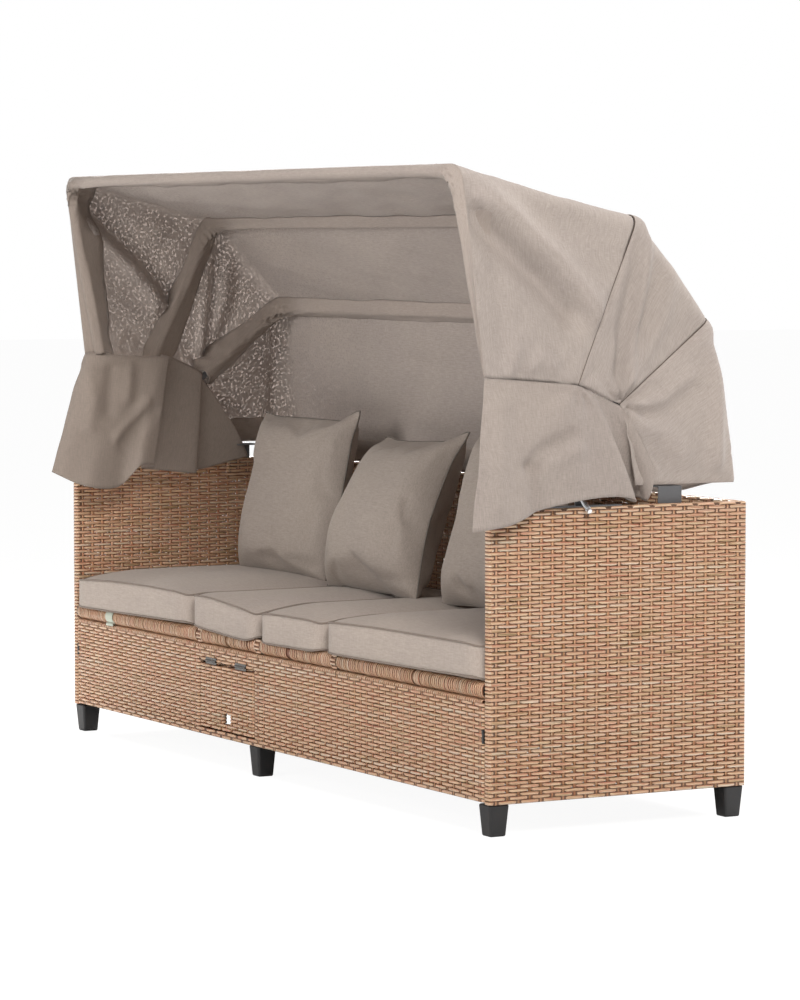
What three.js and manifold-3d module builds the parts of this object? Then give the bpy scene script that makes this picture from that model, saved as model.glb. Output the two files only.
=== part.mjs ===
// Outdoor daybed with a folding canopy: woven arms, back and apron over steel frames, a wrapped seat
// rail, loose cushions, six feet, a small hinged hatch, and three canopy bows under one sewn cover.
// Millimetres, +Z up, X along the seat, +Y towards the back.
import * as THREE from 'three';
import { mergeVertices } from 'three/addons/utils/BufferGeometryUtils.js';
import Module from 'manifold-3d';

const wasm = await Module();
wasm.setup();

// Driving sizes of the whole daybed
const overallWidth = 2200;
const overallDepth = 680;
const armTop = 722;
const footHeight = 71;
const clearance = 0.3;
const overrun = 10;

// Woven panels and the steel tube inside them
const panelThickness = 25;
const weaveWall = 2.2;
const panelEdgeRadius = 6;
const apronTop = 303.7;
const apronLift = 4;

// Hatch in the apron
const hatchLeftShare = -0.30727;
const hatchWidth = 302;
const hatchBottom = 92;
const hatchHeight = 173;
const hatchGap = 2.5;
const hatchThickness = 16;
const fingerHoleWidth = 38;
const fingerHoleHeight = 28;
const fingerHoleRadius = 8;
const fingerHoleFromLeft = 130;
const fingerHoleFromBottom = 20;

// Butterfly hinges of the hatch
const hingeLength = 58;
const hingeLeafHeight = 8;
const hingeLeafThickness = 1.2;
const hingeKnuckleRadius = 2.4;
const hingePinRadius = 1;
const hingeFromHatchEnd = 70;

// Feet
const footTopWidth = 52;
const footBottomWidth = 40;
const footCornerRadius = 7;
const footInset = 3;
const footChamfer = 2.5;
const middleFootShare = -0.0409;

// Seat
const seatTube = 25;
const railHeight = 38.3;
const railDepth = 38;
const railNoseRadius = 17;
const railOverhang = 4;
const seatPanelThickness = 6.2;
const crossMemberShares = [-0.3036, -0.0118, 0.3455];

// Plastic connectors that join the apron and the seat rail to the arms
const connectorWidth = 7;
const connectorLength = 30;
const connectorReach = 14;
const connectorAboveFloor = 221;

// Seat cushions
const cushionThickness = 80;
const cushionCrown = 12;
const cushionOverhang = 12;
const cushionGap = 6;
const cushionBackGap = 40;
const cushionPull = 5;
const cushionEdge = 7;
const cushionCornerRadius = 38;
const cushionJointShares = [-0.3436, -0.0055, 0.3055];
const strapWidth = 42;
const strapThickness = 1.2;
const strapShare = -0.7836;

// Back pillows
const pillowWidthShare = 0.4545;
const pillowHeight = 470;
const pillowThickness = 165;
const pillowEdge = 5;
const pillowPull = 26;
const pillowFootShare = 0.2;
const pillowsFromBack = [272, 322, 310];
const pillowShares = [-0.6109, -0.0909, 0.4218];
const pillowTilts = [12, 22, 16];
const pillowTurns = [2, 0, 0];

// Canopy bows and their pivots
const bowTubeRadius = 8;
const bowBend = 62;
const bowPitch = 18;
const outermostBowFromArm = 17;
const pivotFromFront = 100;
const pivotAboveArm = 23;
const eyeRadius = 12;
const pivotBoltRadius = 4.5;
const frontBowBeforePivot = 142;
const frontBowRise = 725;
const middleBowFromBack = 282;
const middleBowRise = 615;
const rearBowFromBack = 78;
const rearBowRise = 386;

// Brackets, rests and hand bolts on the arm tops
const plateThickness = 3;
const bracketFootLength = 290;
const bracketFootStart = 55;
const bracketEarWidth = 46;
const bracketEarDrop = 34;
const pivotHeadRadius = 8;
const pivotHeadHeight = 5;
const pivotNutHeight = 9;
const restFromFront = 487;
const restWidth = 62;
const restShelf = 62;
const restDrop = 40;
const handBoltFromFront = 243;
const handBoltTilt = 32;
const handBoltRadius = 4;
const handBoltCapRadius = 5.5;
const handBoltGripRadius = 6.5;
const handBoltStem = 20;
const handBoltCapLength = 9;
const handBoltGripLength = 15;
const handTabWidth = 24;
const handTabHeight = 28;
const handTabFromEdge = 20;

// How far the rear bow leans back from upright when the canopy lies folded, in degrees
const rearBowFolded = 86;

// Canopy cloth
const clothThickness = 2;
const clothStandoff = 12;
const clothBend = 76;
const seamGap = 0.9;
const roofSag = 12;
const hemAboveArm = 43;
const hemFromBack = 23;
const hemSideLength = 265;
const hemFromSide = 21;
const frontSeamAboveArm = 290;
const frontSeamBeforePivot = 84;
const frontSeamFromSide = 50;
const middlePinchAboveArm = 271;
const middlePinchFromBack = 433;
const middlePinchFromSide = 29;
const rearPinchAboveArm = 226;
const rearPinchFromBack = 319;
const rearPinchFromSide = 38;
const sideFoldHeight = 8;
const foldWidthShare = 0.22;
const skirtDrop = 330;
const skirtFlare = 80;
const skirtFoldHeight = 9;
const tuckedSkirtFromBow = 14;
const tuckedSkirtLean = 36;
const tuckedSkirtFold = 24;

// Finishes: colour, roughness and metalness
const finishes = {
  weave: [0xb98f6c, 0.7, 0],
  steel: [0x2c2b2a, 0.5, 0.6],
  foot: [0x1d1d1f, 0.55, 0],
  zinc: [0x9a9a98, 0.35, 0.9],
  chrome: [0xd8d8d8, 0.15, 1],
  seatCloth: [0xb2a493, 0.95, 0],
  pillowCloth: [0x8a8278, 0.95, 0],
  canopyCloth: [0xb0a395, 0.95, 0],
  strap: [0xcfdccf, 0.9, 0],
  plastic: [0x17171a, 0.5, 0],
};

const daybed = new THREE.Group();
daybed.name = 'daybed';

// Adds one named piece with its finish
function add(name, geometry, finish) {
  const [color, roughness, metalness] = finishes[finish];
  const material = new THREE.MeshStandardMaterial({ color, roughness, metalness });
  const mesh = new THREE.Mesh(geometry, material);
  mesh.name = name;
  daybed.add(mesh);
  return mesh;
}

// A box from its low and high ends along each axis, given in either order
function block([x0, x1], [y0, y1], [z0, z1]) {
  const geometry = new THREE.BoxGeometry(Math.abs(x1 - x0), Math.abs(y1 - y0), Math.abs(z1 - z0));
  return geometry.translate((x0 + x1) / 2, (y0 + y1) / 2, (z0 + z1) / 2);
}

// Closed solids for joining and cutting
function toSolid(geometry) {
  const bare = geometry.clone();
  for (const name of ['normal', 'uv']) bare.deleteAttribute(name);
  const merged = mergeVertices(bare);
  return new wasm.Manifold(new wasm.Mesh({
    numProp: 3,
    vertProperties: Float32Array.from(merged.attributes.position.array),
    triVerts: Uint32Array.from(merged.index.array),
  }));
}

function toGeometry(solid) {
  const mesh = solid.getMesh();
  const geometry = new THREE.BufferGeometry();
  geometry.setAttribute('position', new THREE.BufferAttribute(Float32Array.from(mesh.vertProperties), 3));
  geometry.setIndex(Array.from(mesh.triVerts));
  geometry.computeVertexNormals();
  return geometry;
}

function join(...geometries) {
  return toGeometry(geometries.map(toSolid).reduce((whole, next) => whole.add(next)));
}

function cut(geometry, ...tools) {
  return toGeometry(tools.map(toSolid).reduce((whole, tool) => whole.subtract(tool), toSolid(geometry)));
}

// A rectangle with rounded corners, centred on a point; radii run from low-left anticlockwise
function roundedRectangle(centreX, centreY, width, height, radii) {
  const [lowLeft, lowRight, highRight, highLeft] = radii;
  const x0 = centreX - width / 2;
  const x1 = centreX + width / 2;
  const y0 = centreY - height / 2;
  const y1 = centreY + height / 2;
  const shape = new THREE.Shape();
  shape.moveTo(x0 + lowLeft, y0);
  shape.lineTo(x1 - lowRight, y0);
  if (lowRight) shape.absarc(x1 - lowRight, y0 + lowRight, lowRight, -Math.PI / 2, 0);
  shape.lineTo(x1, y1 - highRight);
  if (highRight) shape.absarc(x1 - highRight, y1 - highRight, highRight, 0, Math.PI / 2);
  shape.lineTo(x0 + highLeft, y1);
  if (highLeft) shape.absarc(x0 + highLeft, y1 - highLeft, highLeft, Math.PI / 2, Math.PI);
  shape.lineTo(x0, y0 + lowLeft);
  if (lowLeft) shape.absarc(x0 + lowLeft, y0 + lowLeft, lowLeft, Math.PI, Math.PI * 1.5);
  return shape;
}

// Extrudes a shape drawn in Y and Z along X, from x0 to x1
function alongX(shape, [x0, x1], curveSegments = 4) {
  const geometry = new THREE.ExtrudeGeometry(shape, {
    depth: Math.abs(x1 - x0), bevelEnabled: false, curveSegments,
  });
  geometry.rotateY(Math.PI / 2);
  geometry.rotateX(Math.PI / 2);
  return geometry.translate(Math.min(x0, x1), 0, 0);
}

// Extrudes a shape drawn in X and Z along Y, from y0 to y1
function alongY(shape, [y0, y1], curveSegments = 4) {
  const geometry = new THREE.ExtrudeGeometry(shape, {
    depth: y1 - y0, bevelEnabled: false, curveSegments,
  });
  geometry.rotateX(Math.PI / 2);
  return geometry.translate(0, y1, 0);
}

// A round bar along X between two places
function barAlongX([x0, x1], y, z, radius, sides = 16) {
  const geometry = new THREE.CylinderGeometry(radius, radius, Math.abs(x1 - x0), sides);
  geometry.rotateZ(Math.PI / 2);
  return geometry.translate((x0 + x1) / 2, y, z);
}

const halfWidth = overallWidth / 2;
const armInner = halfWidth - panelThickness;
const acrossAt = (share) => share * halfWidth;
const panelTube = panelThickness - 2 * (weaveWall + clearance);
const pocket = panelThickness - 2 * weaveWall;
const mirrored = [['right', 1], ['left', -1]];

// Arms: a woven sleeve, open underneath, over a welded ring of square tube with a middle rail
for (const [side, sign] of mirrored) {
  const centre = sign * (halfWidth - panelThickness / 2);
  const weaveHeight = armTop - footHeight;
  const outline = roundedRectangle(centre, footHeight + weaveHeight / 2, panelThickness, weaveHeight,
    [0, 0, panelEdgeRadius, panelEdgeRadius]);
  const sleeve = alongY(outline, [0, overallDepth], 3);
  const pocketX = [centre - pocket / 2, centre + pocket / 2];
  const hollow = block(pocketX, [weaveWall, overallDepth - weaveWall],
    [footHeight - overrun, armTop - weaveWall]);
  add(`arm_weave_${side}`, cut(sleeve, hollow), 'weave');

  const tubeX = [centre - panelTube / 2, centre + panelTube / 2];
  const inset = weaveWall + clearance;
  const low = footHeight + clearance;
  const high = armTop - inset;
  const ring = cut(
    block(tubeX, [inset, overallDepth - inset], [low, high]),
    block([tubeX[0] - overrun, tubeX[1] + overrun], [inset + panelTube, overallDepth - inset - panelTube],
      [low + panelTube, high - panelTube]),
  );
  const middleRail = block(tubeX, [inset, overallDepth - inset],
    [(low + high - panelTube) / 2, (low + high + panelTube) / 2]);
  add(`arm_frame_${side}`, join(ring, middleRail), 'steel');
}

// Back panel between the arms, built the same way with two uprights
const backFront = overallDepth - panelThickness;
const betweenArms = [-(armInner - clearance), armInner - clearance];
{
  const weaveHeight = armTop - footHeight;
  const outline = roundedRectangle(backFront + panelThickness / 2, footHeight + weaveHeight / 2,
    panelThickness, weaveHeight, [0, 0, panelEdgeRadius, panelEdgeRadius]);
  const sleeve = alongX(outline, betweenArms, 3);
  const hollow = block([betweenArms[0] + weaveWall, betweenArms[1] - weaveWall],
    [backFront + weaveWall, overallDepth - weaveWall], [footHeight - overrun, armTop - weaveWall]);
  add('back_weave', cut(sleeve, hollow), 'weave');

  const inset = weaveWall + clearance;
  const x0 = betweenArms[0] + inset;
  const x1 = betweenArms[1] - inset;
  const low = footHeight + clearance;
  const high = armTop - inset;
  const tubeY = [backFront + inset, overallDepth - inset];
  const bays = 3;
  const bayWidth = (x1 - x0 - panelTube) / bays;
  const openings = Array.from({ length: bays }, (_, index) => block(
    [x0 + index * bayWidth + panelTube, x0 + (index + 1) * bayWidth],
    [tubeY[0] - overrun, tubeY[1] + overrun],
    [low + panelTube, high - panelTube],
  ));
  add('back_frame', cut(block([x0, x1], tubeY, [low, high]), ...openings), 'steel');
}

// Seat heights follow the apron that carries the wrapped rail
const railBottom = apronTop + clearance;
const railTop = railBottom + railHeight;
const railBack = railDepth - railOverhang;

// Notches at both ends of the apron and of the rail, and the connectors that sit in them
function connectorNotch(sign, middleHeight, length, grow) {
  const x0 = betweenArms[1] - connectorWidth - grow;
  const x1 = betweenArms[1] + (grow ? overrun : 0);
  return block([sign * x0, sign * x1], [grow ? -overrun : 0, connectorReach + grow],
    [middleHeight - length / 2 - grow, middleHeight + length / 2 + grow]);
}
const connectorRows = [
  ['lower', connectorAboveFloor, connectorLength],
  ['upper', (railBottom + railTop) / 2, railHeight / 2],
];
for (const [side, sign] of mirrored) {
  for (const [row, height, length] of connectorRows) {
    add(`connector_${row}_${side}`, connectorNotch(sign, height, length, 0), 'plastic');
  }
}
const notches = (row) => mirrored.map(([, sign]) => connectorNotch(sign, row[1], row[2], clearance));

// Apron: the woven front panel with the hatch opening lined by the weave
const hatchLeft = acrossAt(hatchLeftShare);
const hatchRight = hatchLeft + hatchWidth;
const hatchTop = hatchBottom + hatchHeight;
const apronBottom = footHeight + apronLift;
{
  const inset = weaveWall + clearance;
  const body = block(betweenArms, [0, panelThickness], [apronBottom, apronTop]);
  const opening = block([hatchLeft, hatchRight], [-overrun, panelThickness + overrun],
    [hatchBottom, hatchTop]);
  const hollowY = [weaveWall, panelThickness - weaveWall];
  const pocketTop = apronTop - weaveWall;
  const pocketBottom = apronBottom - overrun;
  const overHatch = [hatchLeft - overrun, hatchRight + overrun];
  const pockets = [
    block([betweenArms[0] + weaveWall, hatchLeft - weaveWall], hollowY, [pocketBottom, pocketTop]),
    block([hatchRight + weaveWall, betweenArms[1] - weaveWall], hollowY, [pocketBottom, pocketTop]),
    block(overHatch, hollowY, [hatchTop + weaveWall, pocketTop]),
    block(overHatch, hollowY, [pocketBottom, hatchBottom - weaveWall]),
  ];
  add('apron_weave', cut(body, opening, ...pockets, ...notches(connectorRows[0])), 'weave');

  const tubeY = [inset, panelThickness - inset];
  const x0 = betweenArms[0] + connectorWidth + inset;
  const x1 = betweenArms[1] - connectorWidth - inset;
  const low = apronBottom;
  const high = apronTop - inset;
  const lowRail = hatchBottom - inset - low;
  const windowAround = (from, to) => block([from, to], [tubeY[0] - overrun, tubeY[1] + overrun],
    [low + lowRail, high - panelTube]);
  const postLeft = hatchLeft - inset - panelTube;
  const postRight = hatchRight + inset + panelTube;
  add('apron_frame', cut(
    block([x0, x1], tubeY, [low, high]),
    windowAround(x0 + panelTube, postLeft),
    windowAround(postRight, x1 - panelTube),
    block([hatchLeft - inset, hatchRight + inset], [tubeY[0] - overrun, tubeY[1] + overrun],
      [low + lowRail, hatchTop + inset]),
  ), 'steel');
}

// Hatch door with its finger hole
const doorX = [hatchLeft + hatchGap, hatchRight - hatchGap];
const doorZ = [hatchBottom + hatchGap, hatchTop - hatchGap];
{
  const door = block(doorX, [0, hatchThickness], doorZ);
  const radii = [fingerHoleRadius, fingerHoleRadius, fingerHoleRadius, fingerHoleRadius];
  const hole = roundedRectangle(hatchLeft + fingerHoleFromLeft + fingerHoleWidth / 2,
    hatchBottom + fingerHoleFromBottom + fingerHoleHeight / 2, fingerHoleWidth, fingerHoleHeight, radii);
  add('hatch_door', cut(door, alongY(hole, [-overrun, panelThickness + overrun], 3)), 'weave');
}

// Hinges: a fixed leaf with the two outer knuckles and the pin, a door leaf with the middle knuckle
const hingeAxisDepth = -hingeKnuckleRadius - clearance;
const hingeAxisHeight = hatchTop - hatchGap / 2;
const hingeStarts = [
  ['left', hatchLeft + hingeFromHatchEnd - hingeLength / 2],
  ['right', hatchRight - hingeFromHatchEnd - hingeLength / 2],
];
for (const [side, start] of hingeStarts) {
  const end = start + hingeLength;
  const third = hingeLength / 3;
  const leafY = [-clearance - hingeLeafThickness, -clearance];
  const notch = hingeKnuckleRadius + 2 * clearance;
  const knuckle = (from, to) => (
    barAlongX([from, to], hingeAxisDepth, hingeAxisHeight, hingeKnuckleRadius, 12)
  );
  const fixedLeaf = cut(
    join(
      block([start, end], leafY, [hingeAxisHeight, hingeAxisHeight + hingeLeafHeight]),
      knuckle(start, start + third),
      knuckle(end - third, end),
    ),
    block([start + third - clearance, end - third + clearance], [-overrun, overrun],
      [hingeAxisHeight - notch, hingeAxisHeight + notch]),
  );
  const pin = barAlongX([start, end], hingeAxisDepth, hingeAxisHeight, hingePinRadius, 10);
  add(`hatch_hinge_${side}`, join(fixedLeaf, pin), 'zinc');

  const doorLeaf = cut(
    join(
      block([start, end], leafY, [hingeAxisHeight - hingeLeafHeight, hingeAxisHeight]),
      knuckle(start + third + clearance, end - third - clearance),
    ),
    block([start - overrun, start + third + clearance], [-overrun, overrun],
      [hingeAxisHeight - notch, hingeAxisHeight + notch]),
    block([end - third - clearance, end + overrun], [-overrun, overrun],
      [hingeAxisHeight - notch, hingeAxisHeight + notch]),
    barAlongX([start, end], hingeAxisDepth, hingeAxisHeight, hingePinRadius + clearance, 10),
  );
  add(`hatch_leaf_${side}`, doorLeaf, 'zinc');
}

// Feet: square plastic cups that taper to the floor
function foot(height) {
  const radii = [footCornerRadius, footCornerRadius, footCornerRadius, footCornerRadius];
  const outline = roundedRectangle(0, 0, footTopWidth, footTopWidth, radii);
  const body = new THREE.ExtrudeGeometry(outline, {
    depth: height - 2 * footChamfer, bevelEnabled: true, bevelThickness: footChamfer,
    bevelSize: footChamfer, bevelOffset: -footChamfer, bevelSegments: 1, curveSegments: 3,
  }).translate(0, 0, footChamfer);
  const place = body.attributes.position;
  for (let index = 0; index < place.count; index += 1) {
    const rise = place.getZ(index) / height;
    const taper = THREE.MathUtils.lerp(footBottomWidth, footTopWidth, rise) / footTopWidth;
    place.setXY(index, place.getX(index) * taper, place.getY(index) * taper);
  }
  return body;
}
const footReach = footInset + footTopWidth / 2;
const footAcross = [
  ['left', footReach - halfWidth],
  ['middle', acrossAt(middleFootShare)],
  ['right', halfWidth - footReach],
];
for (const [row, depth] of [['front', footReach], ['rear', overallDepth - footReach]]) {
  for (const [column, x] of footAcross) {
    const underApron = row === 'front' && column === 'middle';
    const height = (underApron ? apronBottom : footHeight) - clearance;
    add(`foot_${row}_${column}`, foot(height).translate(x, depth, 0), 'foot');
  }
}

// Seat rail: the wrapped front tube with its rounded nose, open at the back over the tube
const tubeBottom = railBottom + (railHeight - seatTube) / 2;
const tubeTop = tubeBottom + seatTube;
{
  const section = roundedRectangle(railBack - railDepth / 2, railBottom + railHeight / 2,
    railDepth, railHeight, [railNoseRadius, 0, 0, railNoseRadius]);
  const sleeve = alongX(section, betweenArms, 5);
  const channel = block([betweenArms[0] - overrun, betweenArms[1] + overrun],
    [railBack - seatTube - clearance, railBack + overrun], [tubeBottom - clearance, tubeTop + clearance]);
  add('seat_rail', cut(sleeve, channel, ...notches(connectorRows[1])), 'weave');
}

// Seat frame: front and rear tubes, end tubes and cross members, welded as one ladder
const crossMemberCentres = crossMemberShares.map(acrossAt);
{
  const x0 = betweenArms[0] + connectorWidth + clearance;
  const x1 = betweenArms[1] - connectorWidth - clearance;
  const rear = backFront - clearance;
  const height = [tubeBottom, tubeTop];
  const rungs = [x0 + seatTube / 2, ...crossMemberCentres, x1 - seatTube / 2];
  add('seat_frame', join(
    block([x0, x1], [railBack - seatTube, railBack], height),
    block([x0, x1], [rear - seatTube, rear], height),
    ...rungs.map((x) => block([x - seatTube / 2, x + seatTube / 2],
      [railBack - seatTube / 2, rear - seatTube / 2], height)),
  ), 'steel');
}

// Woven seat panels that lie on the ladder between its cross members
{
  const ends = [betweenArms[0], ...crossMemberCentres, betweenArms[1]];
  for (let index = 0; index + 1 < ends.length; index += 1) {
    add(`seat_panel_${index + 1}`, block([ends[index] + clearance, ends[index + 1] - clearance],
      [railBack + clearance, backFront - clearance],
      [tubeTop + clearance, tubeTop + clearance + seatPanelThickness]), 'weave');
  }
}

// A box of many faces whose points are moved by a rule on their shares of the half sizes
function softBlock([width, depth, height], [columns, rows, layers], rule) {
  const bare = new THREE.BoxGeometry(width, depth, height, columns, rows, layers);
  for (const name of ['normal', 'uv']) bare.deleteAttribute(name);
  const geometry = mergeVertices(bare);
  const place = geometry.attributes.position;
  const point = new THREE.Vector3();
  for (let index = 0; index < place.count; index += 1) {
    point.fromBufferAttribute(place, index);
    rule(point, (2 * point.x) / width, (2 * point.y) / depth, (2 * point.z) / height);
    place.setXYZ(index, point.x, point.y, point.z);
  }
  geometry.computeVertexNormals();
  return geometry;
}

// Seat cushions: boxed, with a crown, softened edges and sides that draw in between the corners
const cushionBottom = railTop + clearance;
const crownAt = (u, v) => cushionCrown * (1 - u ** 4) * (1 - v ** 4);
function cushion(width, depth) {
  const faceLength = 88;
  const columns = Math.max(4, Math.round(width / faceLength));
  const rows = Math.round(depth / faceLength);
  const size = [width, depth, cushionThickness];
  return softBlock(size, [columns, rows, 3], (point, u, v, s) => {
    const crown = crownAt(u, v) * (s + 1) / 2;
    const soften = cushionEdge * s ** 4;
    const cornerX = Math.max(0, Math.abs(point.x) - (width / 2 - cushionCornerRadius));
    const cornerY = Math.max(0, Math.abs(point.y) - (depth / 2 - cushionCornerRadius));
    const reach = Math.hypot(cornerX, cornerY);
    const shrink = cornerX && cornerY ? 1 - Math.max(cornerX, cornerY) / reach : 0;
    const drawX = cushionPull * (1 - v ** 2) * u ** 4 + soften * u ** 8 + shrink * cornerX;
    const drawY = cushionPull * (1 - u ** 2) * v ** 4 + soften * v ** 8 + shrink * cornerY;
    point.set(point.x - Math.sign(u) * drawX, point.y - Math.sign(v) * drawY, point.z + crown);
  });
}
const cushionFront = -cushionOverhang;
const cushionRear = backFront - cushionBackGap;
const cushionJoints = cushionJointShares.map(acrossAt);
const cushionEnds = [betweenArms[0] - cushionGap / 4, ...cushionJoints, betweenArms[1] + cushionGap / 4];
const cushionSpans = cushionJoints.concat(cushionEnds.at(-1))
  .map((end, index) => [cushionEnds[index] + cushionGap / 2, end - cushionGap / 2]);
cushionSpans.forEach(([x0, x1], index) => {
  const geometry = cushion(x1 - x0, cushionRear - cushionFront);
  geometry.translate((x0 + x1) / 2, (cushionFront + cushionRear) / 2, cushionBottom + cushionThickness / 2);
  add(`seat_cushion_${index + 1}`, geometry, 'seatCloth');
});

// Height of the cushions' top at a place on the seat
function seatHeight(x, y) {
  const span = cushionSpans.find(([, x1]) => x <= x1) ?? cushionSpans.at(-1);
  const u = THREE.MathUtils.clamp((2 * x - span[0] - span[1]) / (span[1] - span[0]), -1, 1);
  const v = (2 * y - cushionFront - cushionRear) / (cushionRear - cushionFront);
  return cushionBottom + cushionThickness + crownAt(u, v);
}

// Strap that holds the left cushion to the rail, bent round the nose of the rail
{
  const strapCentre = acrossAt(strapShare);
  const nose = new THREE.Vector2(railNoseRadius - railOverhang, 0);
  const lowCentre = railBottom + railNoseRadius;
  const highCentre = railTop - railNoseRadius;
  const inner = railNoseRadius + clearance;
  const outer = inner + strapThickness;
  const shape = new THREE.Shape();
  const upper = Math.PI * 0.72;
  const lower = Math.PI * 1.3;
  shape.absarc(nose.x, highCentre, outer, upper, Math.PI);
  shape.absarc(nose.x, lowCentre, outer, Math.PI, lower);
  shape.absarc(nose.x, lowCentre, inner, lower, Math.PI, true);
  shape.absarc(nose.x, highCentre, inner, Math.PI, upper, true);
  const strapEnds = [strapCentre - strapWidth / 2, strapCentre + strapWidth / 2];
  add('cushion_strap', alongX(shape, strapEnds, 5), 'strap');
}

// Back pillows: knife-edged squares that stand on the seat and lean back
const pillowWidth = acrossAt(pillowWidthShare);
pillowShares.forEach((share, index) => {
  const tilt = THREE.MathUtils.degToRad(pillowTilts[index]);
  const size = [pillowWidth, pillowHeight, pillowThickness];
  const geometry = softBlock(size, [10, 10, 2], (point, u, v, s) => {
    const fullness = (Math.max(0, 1 - u ** 2) * Math.max(0, 1 - v ** 2)) ** 0.6;
    const thickness = THREE.MathUtils.lerp(pillowEdge, pillowThickness, fullness);
    const drawX = pillowPull * (1 - v ** 2) * u ** 2;
    const drawY = pillowPull * (1 - u ** 2) * v ** 2 * (v < 0 ? pillowFootShare : 1);
    point.set(point.x - Math.sign(u) * drawX, point.y - Math.sign(v) * drawY, s * thickness / 2);
  });
  geometry.translate(0, pillowHeight / 2, 0);
  geometry.rotateX(Math.PI / 2 - tilt);
  geometry.rotateZ(THREE.MathUtils.degToRad(pillowTurns[index]));
  geometry.translate(acrossAt(share), overallDepth - pillowsFromBack[index], 0);
  const place = geometry.attributes.position;
  const gaps = Array.from({ length: place.count }, (_, k) => (
    place.getZ(k) - seatHeight(place.getX(k), place.getY(k))
  ));
  geometry.translate(0, 0, clearance - Math.min(...gaps));
  add(`back_pillow_${index + 1}`, geometry, 'pillowCloth');
});

// Canopy bows: round tube bent to a wide U, with an eye at each end on the common pivot
const pivotHeight = armTop + pivotAboveArm;
const outermostBow = armInner - outermostBowFromArm;
const innermostBow = outermostBow - 2 * bowPitch;
const bowRow = (out, depth, rise) => ({ out, depth, top: pivotHeight + rise });
const bowRows = {
  front: bowRow(innermostBow, pivotFromFront - frontBowBeforePivot, frontBowRise),
  rear: bowRow(outermostBow - bowPitch, overallDepth - rearBowFromBack, rearBowRise),
  middle: bowRow(outermostBow, overallDepth - middleBowFromBack, middleBowRise),
};

// Follows a bow from the right pivot over the top to the left one, with its steps spent on the bends
class BowCurve extends THREE.Curve {
  constructor({ out, depth, top }) {
    super();
    this.ends = [1, -1].map((sign) => {
      const pivot = new THREE.Vector3(sign * out, pivotFromFront, pivotHeight);
      const corner = new THREE.Vector3(sign * out, depth, top);
      const down = pivot.clone().sub(corner).normalize();
      const start = corner.clone().addScaledVector(down, bowBend);
      const finish = corner.clone().setX(sign * (out - bowBend));
      return { pivot, bend: new THREE.QuadraticBezierCurve3(start, corner, finish), start, finish };
    });
  }

  getPoint(share, target = new THREE.Vector3()) {
    const legShare = 0.1;
    const bendShare = 0.3;
    const end = this.ends[share < 0.5 ? 0 : 1];
    const fromPivot = share < 0.5 ? share : 1 - share;
    if (fromPivot <= legShare) return target.lerpVectors(end.pivot, end.start, fromPivot / legShare);
    if (fromPivot <= legShare + bendShare) {
      return target.copy(end.bend.getPoint((fromPivot - legShare) / bendShare));
    }
    const [right, left] = this.ends;
    const acrossShare = (share - legShare - bendShare) / (1 - 2 * (legShare + bendShare));
    return target.lerpVectors(right.finish, left.finish, acrossShare);
  }

  getPointAt(share, target) {
    return this.getPoint(share, target);
  }

  getTangentAt(share, target) {
    return this.getTangent(share, target);
  }
}

const earInner = armInner - clearance - plateThickness;
for (const [name, row] of Object.entries(bowRows)) {
  const section = new THREE.Shape().absarc(0, 0, bowTubeRadius, 0, 2 * Math.PI);
  const tube = new THREE.ExtrudeGeometry(section, {
    steps: 20, curveSegments: 5, bevelEnabled: false, extrudePath: new BowCurve(row),
  });
  const inside = row.out - bowPitch / 2 + clearance;
  const outside = name === 'middle' ? earInner - clearance : row.out + bowPitch / 2 - clearance;
  const eyes = mirrored.map(([, sign]) => barAlongX([sign * inside, sign * outside],
    pivotFromFront, pivotHeight, eyeRadius, 18));
  const bores = mirrored.map(([, sign]) => barAlongX([sign * (inside - overrun), sign * (outside + overrun)],
    pivotFromFront, pivotHeight, pivotBoltRadius + clearance, 12));
  add(`${name}_bow`, cut(join(tube, ...eyes), ...bores), 'steel');
}

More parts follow.
